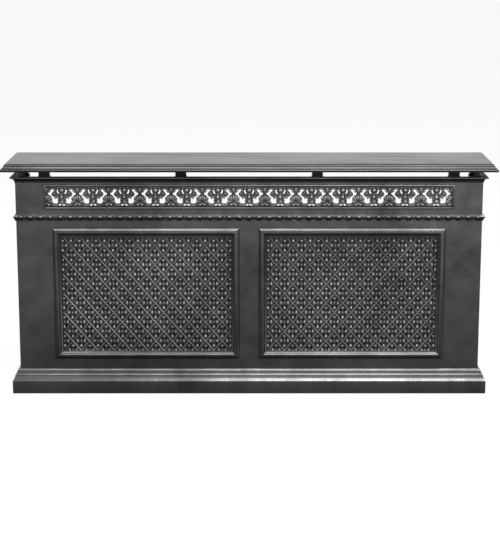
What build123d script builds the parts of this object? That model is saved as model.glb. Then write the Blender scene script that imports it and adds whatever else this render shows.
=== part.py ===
from build123d import *
import os

# Cast-iron radiator cover cabinet, open at the back and underneath, with a loose shelf.
# Millimetres. +X to the viewer's right, -Y towards the room, +Z up; the wall is at +Y.
# The origin is on the floor, at the middle of the overall box.

# ---------------------------------------------------------------- overall sizes
body_width = 1592.0          # over the outer faces of the side panels
body_depth = 216.0           # face of the front panel to the wall
overall_height = 810.0       # floor to the top of the shelf
panel_thickness = 7.0        # cast panels
clearance = 0.1              # radial gap of a screw in its hole
hole_end = 1.0               # a blind hole is this much deeper than its screw
screw_head_ratio = 1.8       # head diameter over shank diameter
screw_head_height_ratio = 0.6
front_screw_margin = 140.0   # first and last screws of the long mouldings, from the corners
side_screw_margin = 60.0     # and of their side lengths, from the front and the wall

# ---------------------------------------------------------------- shelf
shelf_thickness = 25.0
shelf_overhang = 44.0        # lip beyond the body, at the front and both ends
shelf_plate = 8.0            # metal left above the hollows underneath
shelf_rim = 52.0             # solid border at the front and both ends
shelf_rear_rim = 18.0
shelf_rib = 12.0
shelf_hollows = 5
edge_round = 7.0             # shelf edge, from the top down: rounded corner,
edge_fillet = 3.0            # upright fillet,
edge_cove = 4.0              # hollow,
edge_slope_drop = 5.0        # sloping shoulder,
edge_slope_run = 6.5
edge_lip = 6.0               # and upright lip at the bottom
edge_slope_bulge = 0.35      # the shoulder's middle, as shares of its run
edge_slope_rise = 0.75       # and of its drop

# ---------------------------------------------------------------- spacer blocks and pegs
block_height = 23.0          # shadow gap between the body and the shelf
block_width = 42.0
block_waist = 36.0
block_depth = 20.0
block_overlap = 6.0          # how far a block stands back over the panel's top edge
front_blocks = 4
front_block_inset = 101.0    # centre of the end blocks from the body's ends
rear_block_inset = 30.0      # centre of the rear blocks from the wall
block_screw_spacing = 25.0
block_screw_diameter = 4.0
block_screw_grip = 7.0       # length of thread in the cornice
block_screw_recess = 6.0     # depth of the head below the top of the block
block_sink_play = 1.0        # the sunk hole is this much wider than the head
peg_diameter = 8.0
peg_drop = 10.0              # length of peg below the shelf
peg_hold = 12.0              # length of peg inside the shelf
peg_play = 0.5               # radial play of a peg in its block

# ---------------------------------------------------------------- cornice
cornice_height = 20.0
cornice_projection = 16.0
cornice_fillet = 4.5
cornice_quirk = 2.0          # small step where the hollow meets the panel
cornice_screw_diameter = 4.0
cornice_screw_grip = 6.0
front_cornice_screws = 6
side_cornice_screws = 2

# ---------------------------------------------------------------- frieze
frieze_side_margin = 104.0   # opening to the body's ends
frieze_opening_height = 71.0
frieze_drop = 69.5           # centre of the opening below the body's top
frieze_frame_width = 7.5
frieze_frame_height = 5.0    # how proud the frame stands
frieze_frame_land = 4.0      # flat top of the frame's section
frieze_thickness = 5.0
frieze_motifs = 13
frieze_screw_diameter = 3.0
frieze_screw_grip = 3.5
frieze_screws = 8            # along each long side
frieze_screw_margin = 20.0   # from the ends of the opening

# ---------------------------------------------------------------- bead moulding
bead_drop = 142.0            # centre of the moulding below the body's top
bead_height = 21.0
bead_projection = 9.0
bead_back = 2.0              # flat strip behind the round
bead_screw_diameter = 4.0
bead_screw_grip = 5.0
front_bead_screws = 5
side_bead_screws = 2

# ---------------------------------------------------------------- grilles
grille_side_margin = 123.7   # plain field beside, between, above and below the frames
grille_middle_gap = 66.6
grille_top_margin = 25.5
grille_bottom_margin = 35.0
grille_frame_width = 27.0
grille_frame_edge = 3.0      # height of the frame's outer edge
grille_frame_crest = 14.0    # height of the frame's crest
grille_crest_start = 13.0    # crest from the outer edge, across the frame
grille_crest_end = 17.0
grille_frame_inner = 2.5     # height of the frame's inner edge
grille_crest_drop = 1.0      # the crest's sides, below its middle
grille_slope_across = 7.0    # a point of the hollow outer slope, from the outer edge
grille_slope_height = 7.0
lattice_rim = 8.0            # how far a lattice reaches behind its frame
lattice_thickness = 5.0
lattice_border = 4.5         # plain border round the pierced field
lattice_drop = 4.5           # the field sits this much below the opening's centre
lattice_overrun = 7.0        # the rows of diamonds are this much higher than the field that cuts them off,
lattice_rise = 2.5           # and their middle is this much above the field's
lattice_columns = 10
lattice_rows = 6
gauze_thickness = 0.8
gauze_inset = 2.0
frame_screw_diameter = 5.0
frame_screw_grip = 8.0
frame_screw_inset = 13.5     # from the opening
frame_screw_spread_x = 220.0
frame_screw_spread_z = 120.0
clip_length = 24.0
clip_width = 14.0
clip_thickness = 2.0
clip_boss_diameter = 12.0
clip_boss_inset = 15.5       # from the opening
clip_spread_x = 110.0
clip_screw_diameter = 4.0
clip_screw_grip = 9.0        # length of thread in the boss and panel

# ---------------------------------------------------------------- plinth
plinth_projection = 25.0
plinth_wall = 7.0
plinth_face_height = 45.0    # upright face
plinth_height = 85.0         # to the top of its mouldings
plinth_ledge_z = 62.0        # top of the broad slope
plinth_ledge = 18.0
plinth_cap = 17.0            # lower slope
plinth_cap_z = 64.0
plinth_groove_z = 69.6
plinth_groove = 12.0
plinth_top_round = 10.0
plinth_top_round_z = 75.5
plinth_round_across = 6.2    # a point of the rounded top
plinth_round_z = 82.3
plinth_screw_diameter = 5.0
plinth_screw_grip = 7.0
plinth_screw_z = 72.0
front_plinth_screws = 5
side_plinth_screws = 2

# ---------------------------------------------------------------- hidden ironwork
angle_leg = 30.0
angle_thickness = 4.0
angle_bottom = 20.0
angle_top_drop = 117.0       # top of the corner angles below the body's top
angle_low_screw = 30.0       # first screw above the foot of an angle
angle_high_screw = 13.0      # last screw below its top
angle_screws = 3
angle_boss = 4.0             # height of the cast bosses behind angles and brackets
boss_diameter = 16.0
angle_screw_offset = 17.0    # from the inner face of the other panel's boss
stay_screw_diameter = 6.0
stay_screw_grip = 8.0
tie_width = 25.0
tie_thickness = 5.0
tie_foot = 30.0
tie_drop = 12.0              # top of the bar below the body's top
tie_back_gap = 8.0           # clear of the wall
bracket_height = 30.0
bracket_depth = 30.0
bracket_reach = 40.0
bracket_thickness = 4.0
low_bracket_z = 150.0
high_bracket_drop = 122.0    # centre of the upper brackets below the body's top
wall_hole_diameter = 7.0
bracket_screw_margin = 10.0  # from the front edge of a bracket's side leg
wall_hole_inset = 24.0       # from the boss face to the wall screw

# ---------------------------------------------------------------- worked out from the above
half_width = body_width / 2
side_inner_x = half_width - panel_thickness
wall_y = (body_depth + shelf_overhang) / 2
front_y = wall_y - body_depth
panel_back_y = front_y + panel_thickness
shelf_bottom = overall_height - shelf_thickness
body_top = shelf_bottom - block_height
shelf_width = body_width + 2 * shelf_overhang
shelf_depth = body_depth + shelf_overhang
frieze_opening_width = body_width - 2 * frieze_side_margin
frieze_centre_z = body_top - frieze_drop
bead_centre_z = body_top - bead_drop
grille_frame_outer_width = half_width - grille_side_margin - grille_middle_gap / 2
grille_centre_x = (grille_middle_gap + grille_frame_outer_width) / 2
grille_top_z = bead_centre_z - bead_height / 2 - grille_top_margin
grille_bottom_z = plinth_height + grille_bottom_margin
grille_frame_outer_height = grille_top_z - grille_bottom_z
grille_centre_z = (grille_top_z + grille_bottom_z) / 2
angle_top = body_top - angle_top_drop
tie_top_z = body_top - tie_drop
bracket_z = (low_bracket_z, body_top - high_bracket_drop)
grille_opening_width = grille_frame_outer_width - 2 * grille_frame_width
grille_opening_height = grille_frame_outer_height - 2 * grille_frame_width
boss_face_x = side_inner_x - angle_boss
grille_sides = (-grille_centre_x, grille_centre_x)

DIAGONAL = 0.5 ** 0.5         # where a quarter round is half way
TO_ROOM = (0, -1, 0)
UP = (0, 0, 1)
DOWN = (0, 0, -1)


# ---------------------------------------------------------------- small helpers
def block(x0, x1, y0, y1, z0, z1):
    """Box between two limits on each axis."""
    return Pos((x0 + x1) / 2, (y0 + y1) / 2, (z0 + z1) / 2) * Box(x1 - x0, y1 - y0, z1 - z0)


def rod(seat, direction, diameter, length):
    """Round bar from its seat along a direction."""
    from_end = (Align.CENTER, Align.CENTER, Align.MIN)
    return Plane(origin=seat, z_dir=direction) * Cylinder(diameter / 2, length, align=from_end)


def away(direction):
    return tuple(-part for part in direction)


def screw(seat, direction, diameter, length):
    """Cheese-headed screw: the head lies outside its seat, the shank runs along the direction."""
    head_diameter = screw_head_ratio * diameter
    head_height = screw_head_height_ratio * diameter
    return rod(seat, direction, diameter, length) + rod(seat, away(direction), head_diameter, head_height)


def screws(fixings, diameter, length):
    return [screw(seat, direction, diameter, length) for seat, direction in fixings]


def holes(fixings, diameter, length):
    """Clearance holes for the same fixings, a little deeper than the screws."""
    return [rod(seat, direction, diameter + 2 * clearance, length + hole_end)
            for seat, direction in fixings]


def spread(first, last, count):
    """Evenly spaced places from the first to the last."""
    return [first + (last - first) * step / (count - 1) for step in range(count)]


def upright(y):
    """Plane facing the room at y, with x across and z up."""
    return Plane(origin=(0, y, 0), x_dir=(1, 0, 0), z_dir=TO_ROOM)


def outline(path, scale=(1, 1), centre=(0, 0)):
    """Closed wire. A point is reached by a straight run, a pair by an arc through its first point."""
    def place(point):
        return (centre[0] + point[0] * scale[0], centre[1] + point[1] * scale[1])

    steps = [(None, step) if not isinstance(step[0], tuple) else step for step in path]
    edges = []
    here = place(steps[-1][1])
    for via, point in steps:
        there = place(point)
        if via is None:
            edges.append(Edge.make_line(here, there))
        else:
            edges.append(Edge.make_three_point_arc(here, place(via), there))
        here = there
    return Wire(edges)


def rectangle(width, height, centre=(0, 0)):
    return outline([(-width / 2, -height / 2), (width / 2, -height / 2),
                    (width / 2, height / 2), (-width / 2, height / 2)], centre=centre)


def prism(face, plane, length):
    """Solid from a flat outline laid on a plane, along the plane's normal."""
    if isinstance(face, Wire):
        face = Face(face)
    return extrude(plane * face, length, dir=plane.z_dir)


def wrap(section, reach):
    """Front, left and right lengths of a moulding, mitred at the front corners.

    The section is drawn with x outwards from the body's faces and y up from the floor."""
    outer_x, outer_y = half_width + reach, front_y - reach
    front_run = Plane(origin=(outer_x, front_y, 0), x_dir=TO_ROOM, z_dir=(-1, 0, 0))
    side_run = Plane(origin=(half_width, wall_y, 0), x_dir=(1, 0, 0), z_dir=TO_ROOM)
    front_zone = outline([(-outer_x, outer_y), (outer_x, outer_y), (half_width, front_y),
                          (-half_width, front_y)])
    side_zone = outline([(half_width, front_y), (outer_x, outer_y), (outer_x, wall_y),
                         (half_width, wall_y)])
    front = prism(section, front_run, 2 * outer_x) & prism(front_zone, Plane.XY, overall_height)
    right = prism(section, side_run, body_depth + reach) & prism(side_zone, Plane.XY, overall_height)
    return front, mirror(right, about=Plane.YZ), right


def mitred_frame(section_path, section_width, width, height):
    """Rectangular frame round the origin, on the plane y = 0, of four mitred members made one.

    The section is drawn with x inwards from the outer edge and y out from the panel."""
    def member(length):
        run = Plane(origin=(length / 2, 0, 0), x_dir=DOWN, z_dir=(-1, 0, 0))
        zone = outline([(-length / 2, 0), (length / 2, 0), (length / 2 - section_width, -section_width),
                        (section_width - length / 2, -section_width)])
        return prism(outline(section_path), run, length) & prism(zone, upright(0), length)

    frame = None
    for quarter, length, offset in ((0, width, height), (1, height, width),
                                    (2, width, height), (3, height, width)):
        bar = Rot(0, 90 * quarter, 0) * Pos(0, 0, offset / 2) * member(length)
        frame = bar if frame is None else frame + bar
    return frame


# ---------------------------------------------------------------- fixings, each a seat and a direction
def front_row(places, z, seat_y=panel_back_y):
    """Screws driven towards the room through the front panel."""
    return [((x, seat_y, z), TO_ROOM) for x in places]


def side_rows(places, z, seat_x=side_inner_x):
    """Screws driven outwards through the side panels, left ones first."""
    left = [((-seat_x, y, z), (-1, 0, 0)) for y in places]
    right = [((seat_x, y, z), (1, 0, 0)) for y in places]
    return left, right


def wrap_fixings(z, front_count, side_count):
    """Front, left and right screws of a moulding that goes round three sides."""
    reach = half_width - front_screw_margin
    front = front_row(spread(-reach, reach, front_count), z)
    left, right = side_rows(spread(front_y + side_screw_margin, wall_y - side_screw_margin, side_count), z)
    return front, left, right


def block_fixings(x, y, along):
    """The two screws of a spacer block, driven down; along is (1, 0) or (0, 1)."""
    seat_z = shelf_bottom - block_screw_recess
    half = block_screw_spacing / 2
    return [((x + sign * half * along[0], y + sign * half * along[1], seat_z), DOWN) for sign in (-1, 1)]


cornice_fixings = wrap_fixings(body_top - cornice_fillet, front_cornice_screws, side_cornice_screws)
bead_fixings = wrap_fixings(bead_centre_z, front_bead_screws, side_bead_screws)
plinth_fixings = wrap_fixings(plinth_screw_z, front_plinth_screws, side_plinth_screws)

frieze_edge = frieze_frame_width / 2
frieze_screw_reach = frieze_opening_width / 2 - frieze_screw_margin
frieze_screw_x = spread(-frieze_screw_reach, frieze_screw_reach, frieze_screws)
frieze_fixings = []
for sign in (-1, 1):
    edge_z = frieze_centre_z + sign * (frieze_opening_height / 2 + frieze_edge)
    frieze_fixings += front_row(frieze_screw_x, edge_z, panel_back_y + frieze_thickness)

frame_fixings = []
clip_places = []             # boss centre and the way towards the lattice
for centre_x in grille_sides:
    edge_x = grille_opening_width / 2
    edge_z = grille_opening_height / 2
    for sign in (-1, 1):
        row_z = grille_centre_z + sign * (edge_z + frame_screw_inset)
        row_x = [centre_x - frame_screw_spread_x, centre_x, centre_x + frame_screw_spread_x]
        frame_fixings += front_row(row_x, row_z)
        for side_z in (grille_centre_z - frame_screw_spread_z, grille_centre_z + frame_screw_spread_z):
            frame_fixings += front_row([centre_x + sign * (edge_x + frame_screw_inset)], side_z)
        boss_z = grille_centre_z + sign * (edge_z + clip_boss_inset)
        for boss_x in (centre_x - clip_spread_x, centre_x + clip_spread_x):
            clip_places.append((boss_x, boss_z, 0, -sign))
        clip_places.append((centre_x + sign * (edge_x + clip_boss_inset), grille_centre_z, -sign, 0))

clip_seat_y = panel_back_y + lattice_thickness + gauze_thickness
clip_fixings = [((x, clip_seat_y + clip_thickness, z), TO_ROOM) for x, z, _, _ in clip_places]

angle_screw_z = spread(angle_bottom + angle_low_screw, angle_top - angle_high_screw, angle_screws)
angle_screw_x = boss_face_x - angle_screw_offset
angle_screw_y = panel_back_y + angle_boss + angle_screw_offset
angle_front_fixings = [((sign * angle_screw_x, panel_back_y + angle_boss + angle_thickness, z), TO_ROOM)
                       for sign in (-1, 1) for z in angle_screw_z]
tie_centre_y = wall_y - tie_back_gap - tie_width / 2
tie_screw_z = tie_top_z - tie_foot / 2 - tie_thickness / 2
bracket_screw_y = wall_y - bracket_depth + bracket_screw_margin
side_bosses = ([(angle_screw_y, z) for z in angle_screw_z] + [(tie_centre_y, tie_screw_z)]
               + [(bracket_screw_y, z) for z in bracket_z])


def stay_fixings(y, heights, thickness):
    """Screws through ironwork that lies on the bosses of both side panels."""
    seat_x = boss_face_x - thickness
    return [((sign * seat_x, y, z), (sign, 0, 0)) for sign in (-1, 1) for z in heights]


angle_side_fixings = stay_fixings(angle_screw_y, angle_screw_z, angle_thickness)
tie_fixings = stay_fixings(tie_centre_y, [tie_screw_z], tie_thickness)
bracket_fixings = stay_fixings(bracket_screw_y, bracket_z, bracket_thickness)

block_line = block_depth / 2 - block_overlap          # centre line of the blocks outside the panel faces
front_block_reach = half_width - front_block_inset
front_block_places = [(x, front_y - block_line)
                      for x in spread(-front_block_reach, front_block_reach, front_blocks)]
rear_block_y = wall_y - rear_block_inset
rear_block_places = [(sign * (half_width + block_line), rear_block_y) for sign in (-1, 1)]
front_block_fixings = [fixing for x, y in front_block_places for fixing in block_fixings(x, y, (1, 0))]
rear_block_fixings = [fixing for x, y in rear_block_places for fixing in block_fixings(x, y, (0, 1))]

block_screw_length = block_height - block_screw_recess + block_screw_grip
angle_screw_length = angle_thickness + stay_screw_grip
tie_screw_length = tie_thickness + stay_screw_grip
bracket_screw_length = bracket_thickness + stay_screw_grip
frame_screw_length = panel_thickness + frame_screw_grip
clip_screw_length = clip_thickness + clip_screw_grip
frieze_screw_length = frieze_thickness + panel_thickness + frieze_screw_grip
cornice_screw_length = panel_thickness + cornice_screw_grip
bead_screw_length = panel_thickness + bead_screw_grip
plinth_screw_length = panel_thickness + plinth_screw_grip


# ---------------------------------------------------------------- shelf
def moulded_slab(plane, run, reach):
    """Slab with its moulded edge at local x = 0, reaching back to x = -reach."""
    cove_top = shelf_thickness - edge_round - edge_fillet
    shoulder = edge_lip + edge_slope_drop
    inner = -edge_slope_run - edge_cove
    round_mid = edge_round * DIAGONAL
    cove_mid = edge_cove * DIAGONAL
    section = outline([
        (0, edge_lip),
        ((-edge_slope_run * edge_slope_bulge, edge_lip + edge_slope_drop * edge_slope_rise),
         (-edge_slope_run, shoulder)),
        ((-edge_slope_run - cove_mid, cove_top - cove_mid), (inner, cove_top)),
        (inner, cove_top + edge_fillet),
        ((inner - edge_round + round_mid, shelf_thickness - edge_round + round_mid),
         (inner - edge_round, shelf_thickness)),
        (-reach, shelf_thickness),
        (-reach, 0),
        (0, 0),
    ])
    return prism(section, plane, run)


def make_shelf():
    """Shelf casting: moulded at the front and both ends, hollowed underneath between ribs."""
    front_plane = Plane(origin=(shelf_width / 2, wall_y - shelf_depth, shelf_bottom), x_dir=TO_ROOM,
                        z_dir=(-1, 0, 0))
    end_plane = Plane(origin=(shelf_width / 2, wall_y, shelf_bottom), x_dir=(1, 0, 0), z_dir=TO_ROOM)
    right_end = moulded_slab(end_plane, shelf_depth, 1.5 * shelf_width)
    shelf = moulded_slab(front_plane, shelf_width, shelf_depth)
    shelf = shelf & right_end & mirror(right_end, about=Plane.YZ)
    hollow_span = shelf_width - 2 * shelf_rim
    hollow_width = (hollow_span - (shelf_hollows - 1) * shelf_rib) / shelf_hollows
    hollows = []
    for number in range(shelf_hollows):
        left = -hollow_span / 2 + number * (hollow_width + shelf_rib)
        hollows.append(block(left, left + hollow_width, wall_y - shelf_depth + shelf_rim,
                             wall_y - shelf_rear_rim, shelf_bottom, overall_height - shelf_plate))
    peg_holes = [rod((x, y, shelf_bottom), UP, peg_diameter + clearance, peg_hold)
                 for x, y in front_block_places + rear_block_places]
    return shelf - (hollows + peg_holes)


def make_pegs():
    """Steel pegs held in the shelf, which drop loosely into the spacer blocks."""
    length = peg_drop + peg_hold
    return [rod((x, y, shelf_bottom - peg_drop), UP, peg_diameter, length)
            for x, y in front_block_places + rear_block_places]


def make_block(x, y, turned):
    """Spacer block with hollow sides, a hole for the shelf's peg and two countersunk screws."""
    half, waist = block_width / 2, block_waist / 2
    side = outline([(half, 0), ((waist, block_height / 2), (half, block_height)),
                    (-half, block_height), ((-waist, block_height / 2), (-half, 0))])
    shape = prism(side, upright(block_depth / 2), block_depth)
    shape = Pos(x, y, body_top) * Rot(0, 0, 90 if turned else 0) * shape
    fixings = block_fixings(x, y, (0, 1) if turned else (1, 0))
    recess = screw_head_ratio * block_screw_diameter + block_sink_play
    sinks = [rod(seat, UP, recess, block_screw_recess) for seat, _ in fixings]
    peg_hole = rod((x, y, shelf_bottom), DOWN, peg_diameter + 2 * peg_play, peg_drop + hole_end)
    return shape - (sinks + [peg_hole] + holes(fixings, block_screw_diameter, block_screw_length))


# ---------------------------------------------------------------- panels
def make_front_panel():
    """Front casting with its three openings, and bosses behind it for clips and angles."""
    panel = block(-half_width, half_width, front_y, panel_back_y, 0, body_top)
    openings = [block(-frieze_opening_width / 2, frieze_opening_width / 2, front_y, panel_back_y,
                      frieze_centre_z - frieze_opening_height / 2,
                      frieze_centre_z + frieze_opening_height / 2)]
    for centre_x in grille_sides:
        openings.append(block(centre_x - grille_opening_width / 2, centre_x + grille_opening_width / 2,
                              front_y, panel_back_y, grille_centre_z - grille_opening_height / 2,
                              grille_centre_z + grille_opening_height / 2))
    panel -= openings
    front_cornice_fixings, _, _ = cornice_fixings
    front_bead_fixings, _, _ = bead_fixings
    front_plinth_fixings, _, _ = plinth_fixings
    clip_boss = clip_seat_y - panel_back_y
    bosses = [rod((x, panel_back_y, z), (0, 1, 0), clip_boss_diameter, clip_boss)
              for x, z, _, _ in clip_places]
    bosses += [rod((x, panel_back_y, z), (0, 1, 0), boss_diameter, angle_boss)
               for (x, _, z), _ in angle_front_fixings]
    panel += bosses
    cuts = holes(front_cornice_fixings, cornice_screw_diameter, cornice_screw_length)
    cuts += holes(front_bead_fixings, bead_screw_diameter, bead_screw_length)
    cuts += holes(front_plinth_fixings, plinth_screw_diameter, plinth_screw_length)
    cuts += holes(frieze_fixings, frieze_screw_diameter, frieze_screw_length)
    cuts += holes(frame_fixings, frame_screw_diameter, frame_screw_length)
    cuts += holes(clip_fixings, clip_screw_diameter, clip_screw_length)
    cuts += holes(angle_front_fixings, stay_screw_diameter, angle_screw_length)
    return panel - cuts


def make_side_panel(side, cornice_row, bead_row, plinth_row):
    """Plain side casting, butted behind the front panel; side is -1 for left and 1 for right."""
    inner, outer = sorted((side * side_inner_x, side * half_width))
    panel = block(inner, outer, panel_back_y, wall_y, 0, body_top)
    panel += [rod((side * side_inner_x, y, z), (-side, 0, 0), boss_diameter, angle_boss)
              for y, z in side_bosses]
    cuts = holes(cornice_row, cornice_screw_diameter, cornice_screw_length)
    cuts += holes(bead_row, bead_screw_diameter, bead_screw_length)
    cuts += holes(plinth_row, plinth_screw_diameter, plinth_screw_length)
    cuts += holes(angle_side_fixings, stay_screw_diameter, angle_screw_length)
    cuts += holes(tie_fixings, stay_screw_diameter, tie_screw_length)
    cuts += holes(bracket_fixings, stay_screw_diameter, bracket_screw_length)
    return panel - cuts


# ---------------------------------------------------------------- mouldings round three sides
def make_cornice():
    """Hollow cornice under a flat fillet; the spacer blocks are screwed down into it."""
    cove = cornice_projection - cornice_quirk
    bottom, fillet_z = body_top - cornice_height, body_top - cornice_fillet
    cove_mid = cove * DIAGONAL
    section = outline([
        (0, bottom), (cornice_quirk, bottom), (cornice_quirk, fillet_z - cove),
        ((cornice_projection - cove_mid, fillet_z - cove + cove_mid), (cornice_projection, fillet_z)),
        (cornice_projection, body_top), (0, body_top)])
    cuts = holes(front_block_fixings + rear_block_fixings, block_screw_diameter, block_screw_length)
    for fixings in cornice_fixings:
        cuts += holes(fixings, cornice_screw_diameter, cornice_screw_length)
    return [length - cuts for length in wrap(section, cornice_projection)]


def make_bead_moulding():
    """Half-round moulding on a flat strip; its beads lie within this round."""
    top, bottom = bead_centre_z + bead_height / 2, bead_centre_z - bead_height / 2
    section = outline([
        (0, bottom), (bead_back, bottom),
        ((bead_projection, bead_centre_z), (bead_back, top)), (0, top)])
    cuts = []
    for fixings in bead_fixings:
        cuts += holes(fixings, bead_screw_diameter, bead_screw_length)
    return [length - cuts for length in wrap(section, bead_projection)]


def make_plinth():
    """Base moulding: upright face, broad slope, groove and rounded top, hollow behind."""
    section = outline([
        (plinth_projection - plinth_wall, 0), (plinth_projection, 0),
        (plinth_projection, plinth_face_height), (plinth_ledge, plinth_ledge_z),
        (plinth_cap, plinth_cap_z), (plinth_groove, plinth_groove_z),
        (plinth_top_round, plinth_top_round_z),
        ((plinth_round_across, plinth_round_z), (0, plinth_height)),
        (0, plinth_cap_z - plinth_wall), (plinth_ledge - plinth_wall, plinth_cap_z - plinth_wall),
        (plinth_projection - plinth_wall, plinth_face_height)])
    cuts = []
    for fixings in plinth_fixings:
        cuts += holes(fixings, plinth_screw_diameter, plinth_screw_length)
    return [length - cuts for length in wrap(section, plinth_projection)]


# ---------------------------------------------------------------- frames
def make_grille_frame(centre_x):
    """Raised frame: sloping outer face, rounded crest and a steeper fall to the lattice."""
    crest_mid = (grille_crest_start + grille_crest_end) / 2
    shoulder = grille_frame_crest - grille_crest_drop
    section = [
        (0, 0), (0, grille_frame_edge),
        ((grille_slope_across, grille_slope_height), (grille_crest_start, shoulder)),
        ((crest_mid, grille_frame_crest), (grille_crest_end, shoulder)),
        (grille_frame_width, grille_frame_inner), (grille_frame_width, 0)]
    frame = mitred_frame(section, grille_frame_width, grille_frame_outer_width, grille_frame_outer_height)
    frame = Pos(centre_x, front_y, grille_centre_z) * frame
    return frame - holes(frame_fixings, frame_screw_diameter, frame_screw_length)


def make_frieze_frame():
    """Narrow frame round the frieze, with a flat top between two small slopes."""
    slope = (frieze_frame_width - frieze_frame_land) / 2
    section = [
        (0, 0), (slope, frieze_frame_height), (frieze_frame_width - slope, frieze_frame_height),
        (frieze_frame_width, 0)]
    frame = mitred_frame(section, frieze_frame_width, frieze_opening_width + 2 * frieze_frame_width,
                         frieze_opening_height + 2 * frieze_frame_width)
    frame = Pos(0, front_y, frieze_centre_z) * frame
    return frame - holes(frieze_fixings, frieze_screw_diameter, frieze_screw_length)


# ---------------------------------------------------------------- openwork castings
# One cell of the lattice, drawn 57.6 by 66.7 round its centre: the gap to the right of the bud.
# It runs from beside the lower leaf, round the side lobe, to beside the upper leaf.
LATTICE_CELL = (57.6, 66.7)
SMALLEST_GAP = 6.0            # square millimetres
LATTICE_GAP = [
    (13.5, -13.2), ((8.6, 0.0), (13.5, 12.6)), (4.0, 25.0), ((6.2, 15.5), (3.2, 8.5)),
    ((3.9, 0.0), (3.2, -8.0)), (6.3, -11.5), (2.0, -26.5)]

# Gaps of the frieze, drawn 106.5 by 71 from the foot of an urn's centre line, to its right.
FRIEZE_CELL = (106.5, 71.0)
FRIEZE_GAPS = [
    # teardrop beside the urn's bowl
    [(11.4, 43.8), ((16.0, 49.0), (16.6, 54.0)), ((16.4, 58.2), (13.0, 58.5)), ((11.6, 51.0), (7.1, 44.3))],
    # opening above the side scroll, joined by a neck to the chamber beside the collar
    [(34.0, 59.5), ((42.5, 52.5), (47.5, 46.0)), ((45.0, 41.0), (40.0, 38.5)), (36.0, 34.5),
     ((34.2, 25.0), (31.8, 16.5)), ((28.5, 12.0), (23.5, 11.0)), ((16.5, 12.0), (14.6, 20.0)),
     (13.8, 31.0), ((20.0, 30.0), (26.5, 34.0)), ((33.8, 38.4), (35.8, 44.0)),
     ((32.5, 49.5), (27.0, 54.5)), ((27.6, 58.0), (30.5, 60.0))],
    # triangle beside the foot
    [(3.6, 9.6), ((8.6, 8.4), (11.4, 3.2)), (3.6, 3.2)],
]
PALMETTE_HOLE = (45.7, 7.4)
PALMETTE_HOLE_RADIUS = 2.0


def pierced_plate(width, height, centre_z, gaps, thickness):
    """Flat casting pierced by the given wires, its back on the plane behind the front panel."""
    face = Face(rectangle(width, height, (0, centre_z)), gaps)
    return prism(face, upright(panel_back_y + thickness), thickness)


def clipped(wire, field):
    """A gap as it is left by the edge of the pierced field."""
    left = Face(wire) & field
    faces = [] if left is None else left.faces()
    return [face.outer_wire() for face in faces if face.area > SMALLEST_GAP]


def make_lattice(centre_x):
    """Lattice of diamonds in two interleaved sets, each with a flower in its middle."""
    field_width = grille_opening_width - 2 * lattice_border
    field_height = grille_opening_height - 2 * lattice_border
    cell_width = field_width / lattice_columns
    cell_height = (field_height + lattice_overrun) / lattice_rows
    scale = (cell_width / LATTICE_CELL[0], cell_height / LATTICE_CELL[1])
    field_z = grille_centre_z - lattice_drop
    middle_z = field_z + lattice_rise
    field = Face(rectangle(field_width, field_height, (0, field_z)))
    edge = field.bounding_box()
    gaps = []
    for columns, rows in ((lattice_columns, lattice_rows + 1), (lattice_columns + 1, lattice_rows)):
        reach, rise = (columns - 1) * cell_width / 2, (rows - 1) * cell_height / 2
        for x in spread(-reach, reach, columns):
            for z in spread(middle_z - rise, middle_z + rise, rows):
                for sign in (-1, 1):
                    gap = outline(LATTICE_GAP, (sign * scale[0], scale[1]), (x, z))
                    box = gap.bounding_box()
                    inside = (box.min.X > edge.min.X and box.max.X < edge.max.X
                              and box.min.Y > edge.min.Y and box.max.Y < edge.max.Y)
                    gaps += [gap] if inside else clipped(gap, field)
    plate = pierced_plate(grille_opening_width + 2 * lattice_rim, grille_opening_height + 2 * lattice_rim,
                          grille_centre_z, gaps, lattice_thickness)
    return Pos(centre_x, 0, 0) * plate


def make_frieze():
    """Openwork frieze: a row of urns between scrolls, with a palmette between each two urns."""
    pitch = frieze_opening_width / frieze_motifs
    scale = (pitch / FRIEZE_CELL[0], frieze_opening_height / FRIEZE_CELL[1])
    foot_z = frieze_centre_z - frieze_opening_height / 2
    gaps = []
    for number in range(frieze_motifs):
        centre = ((number - (frieze_motifs - 1) / 2) * pitch, foot_z)
        for sign in (-1, 1):
            gaps += [outline(gap, (sign * scale[0], scale[1]), centre) for gap in FRIEZE_GAPS]
            eye = (centre[0] + sign * PALMETTE_HOLE[0] * scale[0], foot_z + PALMETTE_HOLE[1] * scale[1])
            gaps.append(Pos(*eye) * Wire.make_circle(PALMETTE_HOLE_RADIUS))
    frieze = pierced_plate(frieze_opening_width + 2 * frieze_frame_width,
                           frieze_opening_height + 2 * frieze_frame_width, frieze_centre_z, gaps,
                           frieze_thickness)
    return frieze - holes(frieze_fixings, frieze_screw_diameter, frieze_screw_length)


def make_gauze(centre_x):
    """Thin black gauze behind a lattice, modelled as a plain sheet."""
    front = panel_back_y + lattice_thickness
    half = grille_opening_width / 2 + lattice_rim - gauze_inset
    rise = grille_opening_height / 2 + lattice_rim - gauze_inset
    return block(centre_x - half, centre_x + half, front, front + gauze_thickness,
                 grille_centre_z - rise, grille_centre_z + rise)


def make_clips():
    """Flat clips, each screwed to a boss and bearing on the back of a lattice."""
    back = clip_boss_diameter / 2
    clips = []
    for x, z, to_x, to_z in clip_places:
        middle = clip_length / 2 - back
        size_x, size_z = (clip_length, clip_width) if to_x else (clip_width, clip_length)
        clips.append(Pos(x + to_x * middle, clip_seat_y + clip_thickness / 2, z + to_z * middle)
                     * Box(size_x, clip_thickness, size_z))
    cuts = holes(clip_fixings, clip_screw_diameter, clip_screw_length)
    return [clip - cuts for clip in clips]


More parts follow.
